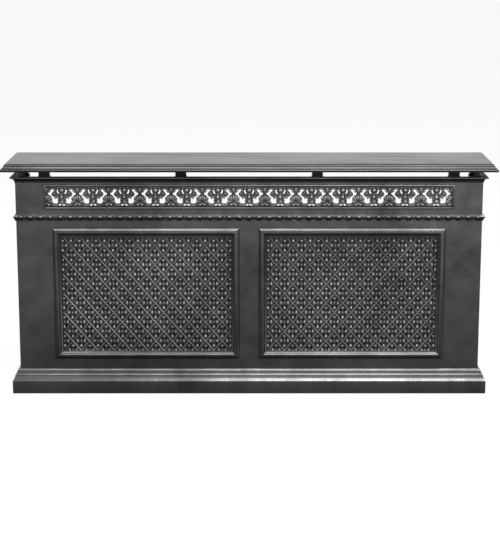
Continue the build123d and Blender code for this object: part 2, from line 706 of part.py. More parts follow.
# ---------------------------------------------------------------- hidden ironwork
def make_corner_angle(side):
    """Steel angle on the bosses of the front and side panels."""
    near = panel_back_y + angle_boss
    inner, outer = sorted((side * (boss_face_x - angle_leg), side * boss_face_x))
    front_leg = block(inner, outer, near, near + angle_thickness, angle_bottom, angle_top)
    inner, outer = sorted((side * (boss_face_x - angle_thickness), side * boss_face_x))
    side_leg = block(inner, outer, near, near + angle_leg, angle_bottom, angle_top)
    cuts = holes(angle_front_fixings + angle_side_fixings, stay_screw_diameter, angle_screw_length)
    return front_leg + side_leg - cuts


def make_tie_bar():
    """Flat bar across the open back, with turned-down feet on the side panels' bosses."""
    y0, y1 = tie_centre_y - tie_width / 2, tie_centre_y + tie_width / 2
    bar = block(-boss_face_x, boss_face_x, y0, y1, tie_top_z - tie_thickness, tie_top_z)
    for side in (-1, 1):
        inner, outer = sorted((side * (boss_face_x - tie_thickness), side * boss_face_x))
        bar += block(inner, outer, y0, y1, tie_top_z - tie_thickness - tie_foot, tie_top_z)
    return bar - holes(tie_fixings, stay_screw_diameter, tie_screw_length)


def make_wall_brackets(side):
    """Two small angles whose back legs lie on the wall, each with a hole for a wall screw."""
    brackets = []
    for z in bracket_z:
        low, high = z - bracket_height / 2, z + bracket_height / 2
        inner, outer = sorted((side * (boss_face_x - bracket_thickness), side * boss_face_x))
        side_leg = block(inner, outer, wall_y - bracket_depth, wall_y, low, high)
        inner, outer = sorted((side * (boss_face_x - bracket_reach), side * boss_face_x))
        wall_leg = block(inner, outer, wall_y - bracket_thickness, wall_y, low, high)
        wall_hole = rod((side * (boss_face_x - wall_hole_inset), wall_y, z), TO_ROOM,
                        wall_hole_diameter, bracket_thickness)
        cuts = holes(bracket_fixings, stay_screw_diameter, bracket_screw_length)
        brackets.append(side_leg + wall_leg - (cuts + [wall_hole]))
    return brackets


# ---------------------------------------------------------------- the assembly
cornice = make_cornice()
bead_moulding = make_bead_moulding()
plinth = make_plinth()
_, *side_rows_by_moulding = zip(cornice_fixings, bead_fixings, plinth_fixings)
left_side_rows, right_side_rows = side_rows_by_moulding
left_lattice = make_lattice(-grille_centre_x)
right_lattice = Pos(2 * grille_centre_x, 0, 0) * left_lattice

nodes = {
    "top_shelf": make_shelf(),
    "shelf_locating_pegs": make_pegs(),
    "front_spacer_blocks": [make_block(x, y, False) for x, y in front_block_places],
    "rear_spacer_blocks": [make_block(x, y, True) for x, y in rear_block_places],
    "front_panel": make_front_panel(),
    "left_side_panel": make_side_panel(-1, *left_side_rows),
    "right_side_panel": make_side_panel(1, *right_side_rows),
    "frieze_frame": make_frieze_frame(),
    "frieze_grille": make_frieze(),
    "left_grille_frame": make_grille_frame(-grille_centre_x),
    "right_grille_frame": make_grille_frame(grille_centre_x),
    "left_lattice_grille": left_lattice,
    "right_lattice_grille": right_lattice,
    "left_grille_gauze": make_gauze(-grille_centre_x),
    "right_grille_gauze": make_gauze(grille_centre_x),
    "grille_clips": make_clips(),
    "left_corner_angle": make_corner_angle(-1),
    "right_corner_angle": make_corner_angle(1),
    "rear_tie_bar": make_tie_bar(),
    "left_wall_brackets": make_wall_brackets(-1),
    "right_wall_brackets": make_wall_brackets(1),
    "block_screws": screws(front_block_fixings + rear_block_fixings, block_screw_diameter,
                           block_screw_length),
    "frieze_screws": screws(frieze_fixings, frieze_screw_diameter, frieze_screw_length),
    "grille_frame_screws": screws(frame_fixings, frame_screw_diameter, frame_screw_length),
    "clip_screws": screws(clip_fixings, clip_screw_diameter, clip_screw_length),
    "corner_angle_screws": screws(angle_front_fixings + angle_side_fixings, stay_screw_diameter,
                                  angle_screw_length),
    "tie_bar_screws": screws(tie_fixings, stay_screw_diameter, tie_screw_length),
    "wall_bracket_screws": screws(bracket_fixings, stay_screw_diameter, bracket_screw_length),
    "cornice_screws": screws(sum(cornice_fixings, []), cornice_screw_diameter, cornice_screw_length),
    "bead_moulding_screws": screws(sum(bead_fixings, []), bead_screw_diameter, bead_screw_length),
    "plinth_screws": screws(sum(plinth_fixings, []), plinth_screw_diameter, plinth_screw_length),
}
for place, cornice_length, bead_length, plinth_length in zip(("front", "left", "right"), cornice,
                                                             bead_moulding, plinth):
    nodes[place + "_cornice"] = cornice_length
    nodes[place + "_bead_moulding"] = bead_length
    nodes[place + "_plinth"] = plinth_length

os.makedirs("parts", exist_ok=True)
for name, shape in nodes.items():
    group = Compound(shape) if isinstance(shape, list) else shape
    export_step(group, "parts/" + name + ".step")
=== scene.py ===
# Radiator cover cabinet in blackened, polished cast iron, with painted light and shade in its finishes: the
# finished surfaces round the imported castings.
# Metres in Blender; the sizes below are millimetres. The room is at -Y, the wall at +Y, the floor at z 0.
import math

import bmesh
import bpy
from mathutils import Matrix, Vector


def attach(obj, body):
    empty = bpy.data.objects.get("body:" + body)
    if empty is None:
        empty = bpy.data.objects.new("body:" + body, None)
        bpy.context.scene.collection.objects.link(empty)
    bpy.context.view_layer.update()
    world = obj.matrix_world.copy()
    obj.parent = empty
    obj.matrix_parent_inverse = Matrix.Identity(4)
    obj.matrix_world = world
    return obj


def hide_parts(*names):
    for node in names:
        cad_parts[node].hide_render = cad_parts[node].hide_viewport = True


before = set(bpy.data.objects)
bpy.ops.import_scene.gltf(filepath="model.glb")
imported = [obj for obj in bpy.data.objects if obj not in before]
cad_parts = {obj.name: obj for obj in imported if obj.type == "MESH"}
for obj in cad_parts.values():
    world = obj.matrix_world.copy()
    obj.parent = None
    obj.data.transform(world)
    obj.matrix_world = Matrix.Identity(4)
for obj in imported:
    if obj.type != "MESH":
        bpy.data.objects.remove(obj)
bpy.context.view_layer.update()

MM = 0.001
PHOTO_HEIGHT = 550          # the picture is 500 by 550; its long side sets the lens
MERGE = 0.01                # points closer than this are one
SMOOTH_ANGLE = 38           # degrees; edges that turn by more stay sharp
ARRIS = 0.8                 # wear on the mouldings' edges

# ---------------------------------------------------------------- sizes shared with the castings
HALF_WIDTH = 796.0
FRONT = -86.0               # face of the front panel
PANEL_BACK = -79.0          # its back, and the face of the pierced castings behind it
WALL = 130.0
BODY_TOP = 762.0
SHELF_BOTTOM, SHELF_TOP = 785.0, 810.0
SHELF_REACH = 840.0
SHELF_FRONT = -130.0
BEAD_CENTRE, BEAD_HEIGHT, BEAD_REACH = 620.0, 21.0, 9.0
GRILLE_X, GRILLE_Z = 352.8, 352.0
GRILLE_WIDTH, GRILLE_HEIGHT = 639.0, 464.0
GRILLE_MEMBER = 27.0
OPENING_WIDTH = GRILLE_WIDTH - 2 * GRILLE_MEMBER
FIELD_WIDTH, FIELD_HEIGHT, FIELD_Z = 576.0, 401.0, 347.5
COLUMNS, ROWS = 10, 6
CELL_X, CELL_Z = FIELD_WIDTH / COLUMNS, 68.0
ROWS_MIDDLE = 350.0
FRIEZE_BOTTOM, FRIEZE_HEIGHT, FRIEZE_WIDTH = 657.0, 71.0, 1384.0
FRIEZE_MEMBER = 7.5
MOTIFS = 13
INSIDE_X, INSIDE_Y = 790.5, -80.0     # in the side and front castings' thickness, near their inner faces

# ---------------------------------------------------------------- carving on the pierced castings
CARVED_FROM = PANEL_BACK + 0.2        # it starts just inside their face
FLOWER_TOP, PALMETTE_TOP, SCROLL_TOP = -82.6, -84.0, -83.8
RISING_BAR_TOP, FALLING_BAR_TOP, BAR_WIDTH = -83.0, -84.2, 4.6
LATTICE_GAP, FRIEZE_GAP = 0.3, 0.2    # between the carving and the frames' sides
FIELD_LAP = 0.7                       # the carving goes on past the field's head and foot


# ---------------------------------------------------------------- shader nodes
class Reading:
    """One output of a shader node. Python's operators on it add Math nodes."""

    def __init__(self, nodes, socket):
        self.nodes, self.socket = nodes, socket

    def maths(self, operation, first, second=0):
        return self.nodes.add("ShaderNodeMath", {"operation": operation}, {0: first, 1: second})

    def __add__(self, other):
        return self.maths("ADD", self, other)

    def __radd__(self, other):
        return self.maths("ADD", other, self)

    def __sub__(self, other):
        return self.maths("SUBTRACT", self, other)

    def __rsub__(self, other):
        return self.maths("SUBTRACT", other, self)

    def __mul__(self, other):
        return self.maths("MULTIPLY", self, other)

    def __rmul__(self, other):
        return self.maths("MULTIPLY", other, self)

    def __abs__(self):
        return self.maths("ABSOLUTE", self)

    def sine(self):
        return self.maths("SINE", self)

    def clipped(self, low, high):
        """0 at low, 1 at high, and neither less nor more beyond them."""
        return self.nodes.add("ShaderNodeMapRange", {"clamp": True},
                              {"Value": self, "From Min": low, "From Max": high})


class Nodes:
    """The node tree of a material or of the world, filled from Python."""

    def __init__(self, owner):
        owner.use_nodes = True
        self.tree = owner.node_tree
        self.tree.nodes.clear()

    def add(self, kind, settings=None, sockets=None, out=0):
        """A node with its settings, then the values or links of its sockets; gives back one output."""
        node = self.tree.nodes.new(kind)
        for name, value in (settings or {}).items():
            if name == "stops":
                for _ in range(len(value) - 2):
                    node.color_ramp.elements.new(0.5)
                for element, (place, share) in zip(node.color_ramp.elements, value):
                    element.position, element.color = place, (share, share, share, 1)
            else:
                setattr(node, name, value)
        for name, value in (sockets or {}).items():
            if isinstance(value, Reading):
                self.tree.links.new(value.socket, node.inputs[name])
            else:
                node.inputs[name].default_value = value
        return Reading(self, node.outputs[out]) if node.outputs else None

    def here(self):
        """Object coordinates."""
        return self.add("ShaderNodeTexCoord", out="Object")

    def place(self, stretch=(1, 1, 1)):
        """Object coordinates, stretched."""
        return self.add("ShaderNodeMapping", None, {"Vector": self.here(), "Scale": stretch})

    def noise(self, where, scale, detail, rough=0.55):
        return self.add("ShaderNodeTexNoise", None,
                        {"Vector": where, "Scale": scale, "Detail": detail, "Roughness": rough})

    def part(self, axis, vector):
        return self.add("ShaderNodeSeparateXYZ", None, {"Vector": vector}, out=axis)

    def grey(self, value):
        return self.add("ShaderNodeCombineColor", None, {0: value, 1: value, 2: value})


# ---------------------------------------------------------------- finishes
def surface(name, metallic, depth, look):
    """A metal finish; look gives its shade, its roughness and its relief, and depth is the relief's."""
    material = bpy.data.materials.new(name)
    nodes = Nodes(material)
    shade, roughness, relief = look(nodes)
    normal = nodes.add("ShaderNodeBump", None, {"Strength": 1.0, "Distance": depth, "Height": relief})
    shader = nodes.add("ShaderNodeBsdfPrincipled", None, {
        "Base Color": nodes.grey(shade), "Roughness": roughness, "Metallic": metallic, "Normal": normal})
    nodes.add("ShaderNodeOutputMaterial", None, {"Surface": shader})
    return material


def cast_skin(nodes, where):
    """The fine grain of sand-cast iron under its blacking."""
    return nodes.noise(where, 420, 3) * 0.6 + nodes.noise(where, 90, 3) * 0.4


def indoors(nodes, where):
    """1 inside the casing, behind its front, between its sides and below its top, where the iron is painted
    darker as painted shade.
    """
    behind = nodes.part("Y", where).clipped((INSIDE_Y - 1) * MM, INSIDE_Y * MM)
    beside = abs(nodes.part("X", where)).clipped((INSIDE_X - 0.5) * MM, (INSIDE_X + 0.5) * MM)
    above = nodes.part("Z", where).clipped((BODY_TOP + 1) * MM, (BODY_TOP + 2) * MM)
    return behind * (1 - beside) * (1 - above)


def painted_light_along(nodes, where, axis, painted_bands):
    """The painted light and shade at each place along an axis, as a share of the most, and the most."""
    first, last = painted_bands[0][0], painted_bands[-1][0]
    most = max(share for _, share in painted_bands)
    stops = [((place - first) / (last - first), share / most) for place, share in painted_bands]
    along = nodes.part(axis, where).clipped(first * MM, last * MM)
    return nodes.add("ShaderNodeValToRGB", {"stops": stops}, {"Fac": along}), most


def iron(name, shade=0.069, roughness=0.31, streaks=(14, 14, 14), depth=0.00012, axis=None, painted_bands=(),
         sloped=(0.1, 0.6), gain=1.2):
    """Blacked iron, cloudy where its polish wore. Slopes that face up are painted brighter, by gain where
    the normal's z is past sloped: a painted highlight of the light from above. Faces that look down are
    painted darker, a painted shade. Bands along an axis give shares of the shade at places along it:
    painted light and painted shade, such as lighter crests and darker hollows on a relief. Without them the
    inside is painted darker, a painted shade, and made rougher."""
    def look(nodes):
        where = nodes.place()
        cloud = nodes.noise(nodes.place(streaks), 1, 5, 0.62).clipped(0.3, 0.72)
        patch = nodes.noise(where, 3.1, 3, 0.5).clipped(0.32, 0.68)
        upwards = nodes.part("Z", nodes.add("ShaderNodeNewGeometry", out="Normal"))
        not_facing_down, slope = upwards.clipped(-0.75, 0.1), upwards.clipped(*sloped)
        # Painted highlight on slopes that face up, painted shade on faces that look down.
        bright = shade * (0.52 + 0.6 * cloud + 0.5 * patch) * (0.2 + 0.8 * not_facing_down) * (1 + gain * slope)
        rough = roughness * (1.2 - 0.24 * cloud - 0.16 * patch) * (1.5 - 0.5 * not_facing_down)
        skin = cast_skin(nodes, where)
        # Bands of painted light and painted shade along an axis; they also set the roughness.
        if axis:
            painted_share, most = painted_light_along(nodes, where, axis, painted_bands)
            return bright * (most * painted_share), rough * (1.25 - 0.35 * painted_share), skin
        # Painted shade inside the casing, a third darker, and a rougher finish there.
        inside = indoors(nodes, where)
        return bright * (1 - 0.35 * inside), rough * (1 + 2.2 * inside), skin
    return surface(name, 0.8, depth, look)


def steel(name):
    """Blackened steel, turned, and a little spotted."""
    def look(nodes):
        spots = nodes.noise(nodes.place(), 70, 4).clipped(0.35, 0.7)
        turned = nodes.noise(nodes.place((1, 1, 6)), 260, 3)
        return 0.08 * (0.75 + 0.5 * spots), 0.42 * (1.15 - 0.3 * spots), turned
    return surface(name, 0.9, 0.00008, look)


def woven_gauze(name):
    """Fine black wire cloth; its near black also paints the shade seen through the lattice's holes."""
    pitch = 2.8 * MM

    def look(nodes):
        waves = [(nodes.part(axis, nodes.here()) * (2 * math.pi / pitch)).sine() for axis in ("X", "Z")]
        weave = waves[0] * waves[0] * 0.5 + waves[1] * waves[1] * 0.5
        return 0.02 * (0.3 + 0.9 * weave), 0.6, weave
    return surface(name, 0.3, 0.0003, look)


# The iron finishes paint highlights on slopes that face up and shade on faces that look down.
IRON = iron("iron_painted_light_shade")
FRAME_IRON = iron("frame_iron", sloped=(0.2, 0.85), gain=0.9)
# Painted light on the shelf's flat top; painted shade along its lower lip and in the quirk under the top's
# arris.
SHELF_IRON = iron("shelf_iron", shade=0.062, streaks=(3, 46, 46), sloped=(0.95, 0.995), gain=1.3, axis="Z",
                  painted_bands=((789.2, 0.15), (791.2, 1.25), (807.6, 1.25),
                           (808.1, 0.2), (809.1, 0.2), (809.5, 0.97)))
# Painted shade in the cove below its fillet and on the cornice's top face under the shelf; the fillet
# painted lighter.
COVE_IRON = iron("cove_iron", axis="Z", painted_bands=((755.0, 0.35), (757.8, 1.2), (761.2, 1.2), (761.8, 0.12)))
# Painted highlights on the upward tops of the eggs and darts; painted shade over their lower halves.
BEAD_IRON = iron("bead_iron", depth=0.00004, sloped=(0.05, 0.45), gain=4.6, axis="Z",
                 painted_bands=((612.0, 0.28), (619.0, 0.38), (622.0, 0.46), (626.5, 0.46), (628.0, 0.6)))
# Bands of painted light and painted shade up the plinth: lighter up to its fascia's top, darker across its
# upper mouldings.
PLINTH_IRON = iron("plinth_iron", shade=0.084, depth=0.00006, sloped=(0.05, 0.4), gain=1.3, axis="Z",
                   painted_bands=((58.0, 1.0), (63.0, 0.6), (73.0, 0.64), (80.0, 0.8)))
# Painted light on the frieze frame's top member and painted shade on its bottom member.
RIM_IRON = iron("rim_iron", gain=1.5, axis="Z",
                painted_bands=((660.0, 0.62), (668.0, 1.0), (720.0, 1.0), (728.0, 2.6)))
# Painted shade in the hollows of the carving and painted light on its crests, partly the blacking rubbed
# off the tops.
FRIEZE_IRON = iron("frieze_iron", shade=0.125, axis="Y", painted_bands=((-78.5, 0.25), (-83.6, 1.9)))
# Painted shade in the hollows of the lattice and painted light on its bars and flowers, partly the blacking
# rubbed off the tops.
LATTICE_IRON = iron("lattice_iron", shade=0.15, roughness=0.42, gain=0.4, axis="Y",
                    painted_bands=((-78.8, 0.3), (-80.4, 0.9), (-82.4, 2.0), (-84.0, 1.25)))
# Near-black iron for the spacer blocks: painted shade, as they sit in the shadow gap under the shelf.
SHADE_BLACK_IRON = iron("painted_shade_iron", shade=0.012, roughness=0.6)
STEEL = steel("blackened_steel_finish")
GAUZE = woven_gauze("gauze_finish")


# ---------------------------------------------------------------- meshes and pieces
def linked(name, data):
    """A new object in the scene."""
    thing = bpy.data.objects.new(name, data)
    bpy.context.scene.collection.objects.link(thing)
    return thing


def smoothed(mesh, angle=SMOOTH_ANGLE):
    """A mesh shaded smooth up to an angle."""
    mesh.shade_smooth()
    mesh.set_sharp_from_angle(angle=math.radians(angle))
    return mesh


def tidied(mesh, angle=SMOOTH_ANGLE, scale=MM):
    """A mesh with its doubles merged and its faces outwards, shaded smooth up to an angle."""
    work = bmesh.new()
    work.from_mesh(mesh)
    bmesh.ops.remove_doubles(work, verts=work.verts, dist=MERGE * scale)
    bmesh.ops.recalc_face_normals(work, faces=work.faces)
    work.to_mesh(mesh)
    work.free()
    return smoothed(mesh, angle)


def mesh_of(name, points, faces, scale=MM):
    """A mesh from points in millimetres, or in another scale's units."""
    mesh = bpy.data.meshes.new(name)
    mesh.from_pydata([tuple(c * scale for c in point) for point in points], [], faces)
    return tidied(mesh, scale=scale)


def piece(name, mesh, finish, body="cabinet", stands_for=()):
    """An object of the cabinet, in its finish, riding on its body."""
    mesh.name = name
    mesh.materials.clear()
    mesh.materials.append(finish)
    thing = linked(name, mesh)
    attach(thing, body)
    if stands_for:
        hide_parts(*stands_for)


def merged(meshes):
    """One mesh from several."""
    work = bmesh.new()
    for mesh in meshes:
        work.from_mesh(mesh)
    out = bpy.data.meshes.new("merged")
    work.to_mesh(out)
    work.free()
    return out


def trimmed(mesh, low, high):
    """A mesh cut off and closed at a rectangle's x and z limits."""
    work = bmesh.new()
    work.from_mesh(mesh)
    for axis, limit, sign in ((0, low[0], -1), (0, high[0], 1), (2, low[1], -1), (2, high[1], 1)):
        normal, point = Vector((0, 0, 0)), Vector((0, 0, 0))
        normal[axis], point[axis] = sign, limit * MM
        cut = bmesh.ops.bisect_plane(work, geom=work.verts[:] + work.edges[:] + work.faces[:],
                                     plane_co=point, plane_no=normal, clear_outer=True)
        edges = [part for part in cut["geom_cut"] if isinstance(part, bmesh.types.BMEdge)]
        bmesh.ops.holes_fill(work, edges=edges, sides=0)
    work.to_mesh(mesh)
    work.free()
    return mesh


# ---------------------------------------------------------------- lines and sections
def arc(centre, radius, start, end, steps):
    """Points of an arc, angles in degrees."""
    angles = [math.radians(start + (end - start) * i / steps) for i in range(steps + 1)]
    return [(centre[0] + radius * math.cos(a), centre[1] + radius * math.sin(a)) for a in angles]


def through(first, middle, last, steps=8):
    """Points of the arc through three points, without the first."""
    (ax, ay), (bx, by), (cx, cy) = first, middle, last
    twice = 2 * (ax * (by - cy) + bx * (cy - ay) + cx * (ay - by))
    ux = ((ax * ax + ay * ay) * (by - cy) + (bx * bx + by * by) * (cy - ay)
          + (cx * cx + cy * cy) * (ay - by)) / twice
    uy = ((ax * ax + ay * ay) * (cx - bx) + (bx * bx + by * by) * (ax - cx)
          + (cx * cx + cy * cy) * (bx - ax)) / twice
    radius = math.hypot(ax - ux, ay - uy)
    a, b, c = (math.degrees(math.atan2(y - uy, x - ux)) for x, y in (first, middle, last))
    turn, part = (c - a) % 360, (b - a) % 360
    if part > turn:
        turn -= 360
    return arc((ux, uy), radius, a, a + turn, steps)[1:]


def eased(section, wear=ARRIS, steps=3, least_turn=28):
    """A closed section with the corners that turn by at least some degrees rounded a little."""
    out = []
    for i, here in enumerate(section):
        before, after = Vector(section[i - 1]), Vector(section[(i + 1) % len(section)])
        here = Vector(here)
        into, away = here - before, after - here
        if into.angle(away) < math.radians(least_turn):
            out.append(tuple(here))
            continue
        cut = min(wear, into.length * 0.4, away.length * 0.4)
        start, end = here - into.normalized() * cut, here + away.normalized() * cut
        for step in range(steps + 1):
            t = step / steps
            out.append(tuple(start * (1 - t) ** 2 + here * 2 * t * (1 - t) + end * t * t))
    return out


def band(count, row, next_row):
    """The faces between two closed rows of count points each."""
    faces = []
    for i in range(count):
        j = (i + 1) % count
        faces.append((row * count + i, row * count + j, next_row * count + j, next_row * count + i))
    return faces


def run_between(name, section, stations):
    """A solid swept from station to station; each station turns a section point into a place."""
    count, rows = len(section), len(stations)
    points = [station(*point) for station in stations for point in section]
    faces = [face for row in range(rows - 1) for face in band(count, row, row + 1)]
    faces += [tuple(range(count)), tuple(range(len(points) - count, len(points)))]
    return mesh_of(name, points, faces)


def front_station(side):
    """A mitre at a front corner; side is -1 at the left and 1 at the right."""
    return lambda out, z: (side * (HALF_WIDTH + out), FRONT - out, z)


def wall_station(side):
    """The square end of a moulding at the wall."""
    return lambda out, z: (side * (HALF_WIDTH + out), WALL, z)


RUNS = {"front": (front_station(-1), front_station(1)),
        "left": (wall_station(-1), front_station(-1)),
        "right": (front_station(1), wall_station(1))}


def wrap(kind, section, finish):
    """Three mitred lengths of a moulding, each standing for its casting."""
    for side, stations in RUNS.items():
        name = f"{side}_{kind}"
        piece(f"{name}_iron", run_between(name, section, stations), finish, stands_for=[name])


def ring(name, section, width, height, centre):
    """Mitred rectangular frame: section points are (inwards, proud) from the outer edge."""
    corners = [(-1, -1), (1, -1), (1, 1), (-1, 1)]
    points = [(centre[0] + sx * (width / 2 - q), FRONT - h, centre[1] + sz * (height / 2 - q))
              for sx, sz in corners for q, h in section]
    faces = [face for row in range(4) for face in band(len(section), row, (row + 1) % 4)]
    return mesh_of(name, points, faces)


# ---------------------------------------------------------------- cornice, plinth and frames
def make_mouldings():
    """The hollow cornice and the moulded plinth; section points are (out, z)."""
    foot, reach, cove_radius, cove_z = 742.0, 16.0, 14.0, 743.5
    cornice = [(0, foot), (2, foot)] + arc((reach, cove_z), cove_radius, 180, 90, 10)
    cornice += [(reach, BODY_TOP), (0, BODY_TOP)]
    wrap("cornice", eased(cornice), COVE_IRON)
    plinth = [(18, 0), (25, 0), (25, 45)]
    plinth += [(21.4, 50.2), (18.6, 55.8), (17.0, 61.2), (16.6, 64.4)]
    plinth += [(13.6, 66.6), (11.6, 69.8), (11.2, 73.0), (10.4, 75.5)]
    plinth += through((10.4, 75.5), (6.4, 82.3), (0, 85), 9)
    plinth += [(0, 68), (10, 58), (18, 42)]
    wrap("plinth", eased(plinth, 0.9), PLINTH_IRON)


def make_frames():
    """The raised frames of the grilles and the narrow one of the frieze; sections are (inwards, proud)."""
    section = [(0, 0), (0, 4.4)]
    section += through((0, 4.4), (5.6, 9.6), (13, 13.2), 8)
    section += through((13, 13.2), (15, 14), (17, 13), 6)
    section += [(19.0, 10.6), (22.0, 6.6), (24.6, 3.6), (GRILLE_MEMBER, 2.5), (GRILLE_MEMBER, 0)]
    for side, x in (("left", -GRILLE_X), ("right", GRILLE_X)):
        mesh = ring("frame", eased(section, 0.6), GRILLE_WIDTH, GRILLE_HEIGHT, (x, GRILLE_Z))
        piece(f"{side}_frame_iron", mesh, FRAME_IRON, stands_for=[f"{side}_grille_frame"])
    section = [(0, 0), (0, 2.4), (1.6, 4.2), (3.0, 5), (4.4, 5), (6.0, 3.8),
               (FRIEZE_MEMBER, 2.0), (FRIEZE_MEMBER, 0)]
    mesh = ring("frame", eased(section, 0.6), FRIEZE_WIDTH + 2 * FRIEZE_MEMBER,
                FRIEZE_HEIGHT + 2 * FRIEZE_MEMBER, (0, FRIEZE_BOTTOM + FRIEZE_HEIGHT / 2))
    piece("frieze_frame_iron", mesh, RIM_IRON, stands_for=["frieze_frame"])


# ---------------------------------------------------------------- shelf
SHELF_RIM, SHELF_RIB, SHELF_HOLLOWS = 52.0, 12.0, 5
SHELF_BACK_RAIL, SHELF_PLATE = 18.0, 8.0


def shelf_edge():
    """The stepped edge, its points (inwards, up) from the shelf's lower outline."""
    edge = [(0, 0), (0, 6)] + through((0, 6), (1.8, 9.0), (5.4, 10.2), 5)
    edge += [(8.4, 10.2), (8.4, 11.8), (7.2, 12.2)] + through((7.2, 12.2), (8.8, 14.2), (10.2, 16.2), 4)
    edge += [(12.6, 16.6), (12.6, 18.2), (11.0, 18.4)]
    edge += through((11.0, 18.4), (12.2, 21.4), (14.4, 23.0), 5)
    edge += [(16.8, 23.0), (16.8, 24.2), (17.2, 25)]
    inner = 30
    closed = eased([(inner, 0)] + edge + [(inner, 25)], 0.3)
    return [point for point in closed if point[0] < inner - 1]


def make_shelf():
    """The moulded slab; its underside is hollowed between ribs."""
    edge = shelf_edge()
    low_inset, low_z = edge[0]
    span = 2 * (SHELF_REACH - SHELF_RIM)
    wide = (span - (SHELF_HOLLOWS - 1) * SHELF_RIB) / SHELF_HOLLOWS
    xs = [-SHELF_REACH]
    for number in range(SHELF_HOLLOWS):
        start = -span / 2 + number * (wide + SHELF_RIB)
        xs += [start, start + wide]
    xs.append(SHELF_REACH)
    ys = [SHELF_FRONT, SHELF_FRONT + SHELF_RIM, WALL - SHELF_BACK_RAIL, WALL]

    work = bmesh.new()
    kept = {}

    def at(x, y, z):
        key = (round(x, 3), round(y, 3), round(z, 3))
        if key not in kept:
            kept[key] = work.verts.new((x * MM, y * MM, z * MM))
        return kept[key]

    path = [("x", -1, y) for y in reversed(ys)]
    path += [("y", 0, x) for x in xs[1:-1]]
    path += [("x", 1, y) for y in ys]

    def station(step, inset, z):
        """A point of the edge at a step of the way round the shelf's ends and front."""
        kind, side, value = step
        if kind == "y":
            return at(value, SHELF_FRONT + inset, SHELF_BOTTOM + z)
        y = SHELF_FRONT + inset if value == SHELF_FRONT else value
        return at(side * (SHELF_REACH - inset), y, SHELF_BOTTOM + z)

    for first, second in zip(path, path[1:]):
        for (q0, z0), (q1, z1) in zip(edge, edge[1:]):
            work.faces.new((station(first, q0, z0), station(second, q0, z0),
                            station(second, q1, z1), station(first, q1, z1)))
    work.faces.new([station(step, *edge[-1]) for step in path])

    def under(x, y, z=SHELF_BOTTOM + low_z):
        """A point below; on the outline it moves in to the edge's first point."""
        if abs(x) == SHELF_REACH:
            x = math.copysign(SHELF_REACH - low_inset, x)
        if y == SHELF_FRONT:
            y += low_inset
        return at(x, y, z)

    ceiling = SHELF_TOP - SHELF_PLATE
    for i, (x0, x1) in enumerate(zip(xs, xs[1:])):
        for j, (y0, y1) in enumerate(zip(ys, ys[1:])):
            corners = [(x0, y0), (x1, y0), (x1, y1), (x0, y1)]
            hollow = j == 1 and i % 2 == 1
            if not hollow:
                work.faces.new([under(x, y) for x, y in corners])
                continue
            work.faces.new([under(x, y, ceiling) for x, y in corners])
            for here, there in zip(corners, corners[1:] + corners[:1]):
                work.faces.new((under(*here), under(*there), under(*there, ceiling), under(*here, ceiling)))
    left_end = [station(path[0], *point) for point in edge]
    right_end = [station(path[-1], *point) for point in edge]
    bottom_row = [under(x, WALL) for x in xs[1:-1]]
    work.faces.new(left_end + right_end[::-1] + bottom_row[::-1])
    mesh = bpy.data.meshes.new("shelf")
    work.to_mesh(mesh)
    work.free()
    piece("shelf_iron", tidied(mesh), SHELF_IRON, body="shelf", stands_for=["top_shelf"])


# ---------------------------------------------------------------- relief shapes
def join(parts):
    """One list of points and faces from several."""
    points, faces = [], []
    for more_points, more_faces in parts:
        base = len(points)
        points += more_points
        faces += [tuple(base + i for i in face) for face in more_faces]
    return points, faces


def boss(outline, ground, top, flat=0.74, shoulder=0.94):
    """A raised shape with rounded edges on an outline of (x, z); flat is the share that is its top."""
    count, rise = len(outline), top - ground
    cx, cz = (sum(values) / count for values in zip(*outline))
    points = []
    for share, height in ((1, 0), (shoulder, 0.6), (flat, 0.93)):
        y = ground + rise * height
        points += [(cx + (x - cx) * share, y, cz + (z - cz) * share) for x, z in outline]
    points.append((cx, top, cz))
    faces = [tuple(range(count))] + band(count, 0, 1) + band(count, 1, 2)
    faces += [(2 * count + i, 2 * count + (i + 1) % count, 3 * count) for i in range(count)]
    return points, faces


def oval(cx, cz, rx, rz, count=8):
    """Points (x, z) of an oval."""
    angles = [2 * math.pi * i / count for i in range(count)]
    return [(cx + rx * math.cos(a), cz + rz * math.sin(a)) for a in angles]


def ridge(path, widths, ground, top, sides=5):
    """A rounded rib along a path of (x, z), its width given at each point; narrow ends are lower."""
    points, faces = [], []
    count, widest = len(path), max(widths)
    for i, ((x, z), width) in enumerate(zip(path, widths)):
        ax, az = path[max(i - 1, 0)]
        bx, bz = path[min(i + 1, count - 1)]
        run = math.hypot(bx - ax, bz - az)
        nx, nz = -(bz - az) / run, (bx - ax) / run
        rise = (top - ground) * (width / widest) ** 0.5
        for k in range(sides):
            a = math.pi * k / (sides - 1)
            across = width / 2 * math.cos(a)
            points.append((x + nx * across, ground + rise * math.sin(a), z + nz * across))
    for i in range(count - 1):
        faces += band(sides, i, i + 1)
    faces += [tuple(range(sides)), tuple(range((count - 1) * sides, count * sides))]
    return points, faces


def both(shape):
    """A shape and its mirror image."""
    points, faces = shape
    return [shape, ([(-x, y, z) for x, y, z in points], [face[::-1] for face in faces])]


# ---------------------------------------------------------------- repeats
def started_tree(name, *sockets):
    """A geometry node tree with named inputs; gives it back with a function that adds its nodes."""
    tree = bpy.data.node_groups.new(name, "GeometryNodeTree")
    tree.interface.new_socket("Geometry", in_out="OUTPUT", socket_type="NodeSocketGeometry")
    for label, kind in (("Geometry", "Geometry"),) + sockets:
        tree.interface.new_socket(label, in_out="INPUT", socket_type=f"NodeSocket{kind}")

    def node(kind, settings=None, sockets=None):
        made = tree.nodes.new(kind)
        for key, value in (settings or {}).items():
            setattr(made, key, value)
        for key, value in (sockets or {}).items():
            for each in value if isinstance(value, list) else [value]:
                if isinstance(each, bpy.types.NodeSocket):
                    tree.links.new(each, made.inputs[key])
                else:
                    made.inputs[key].default_value = each
        return made
    return tree, node


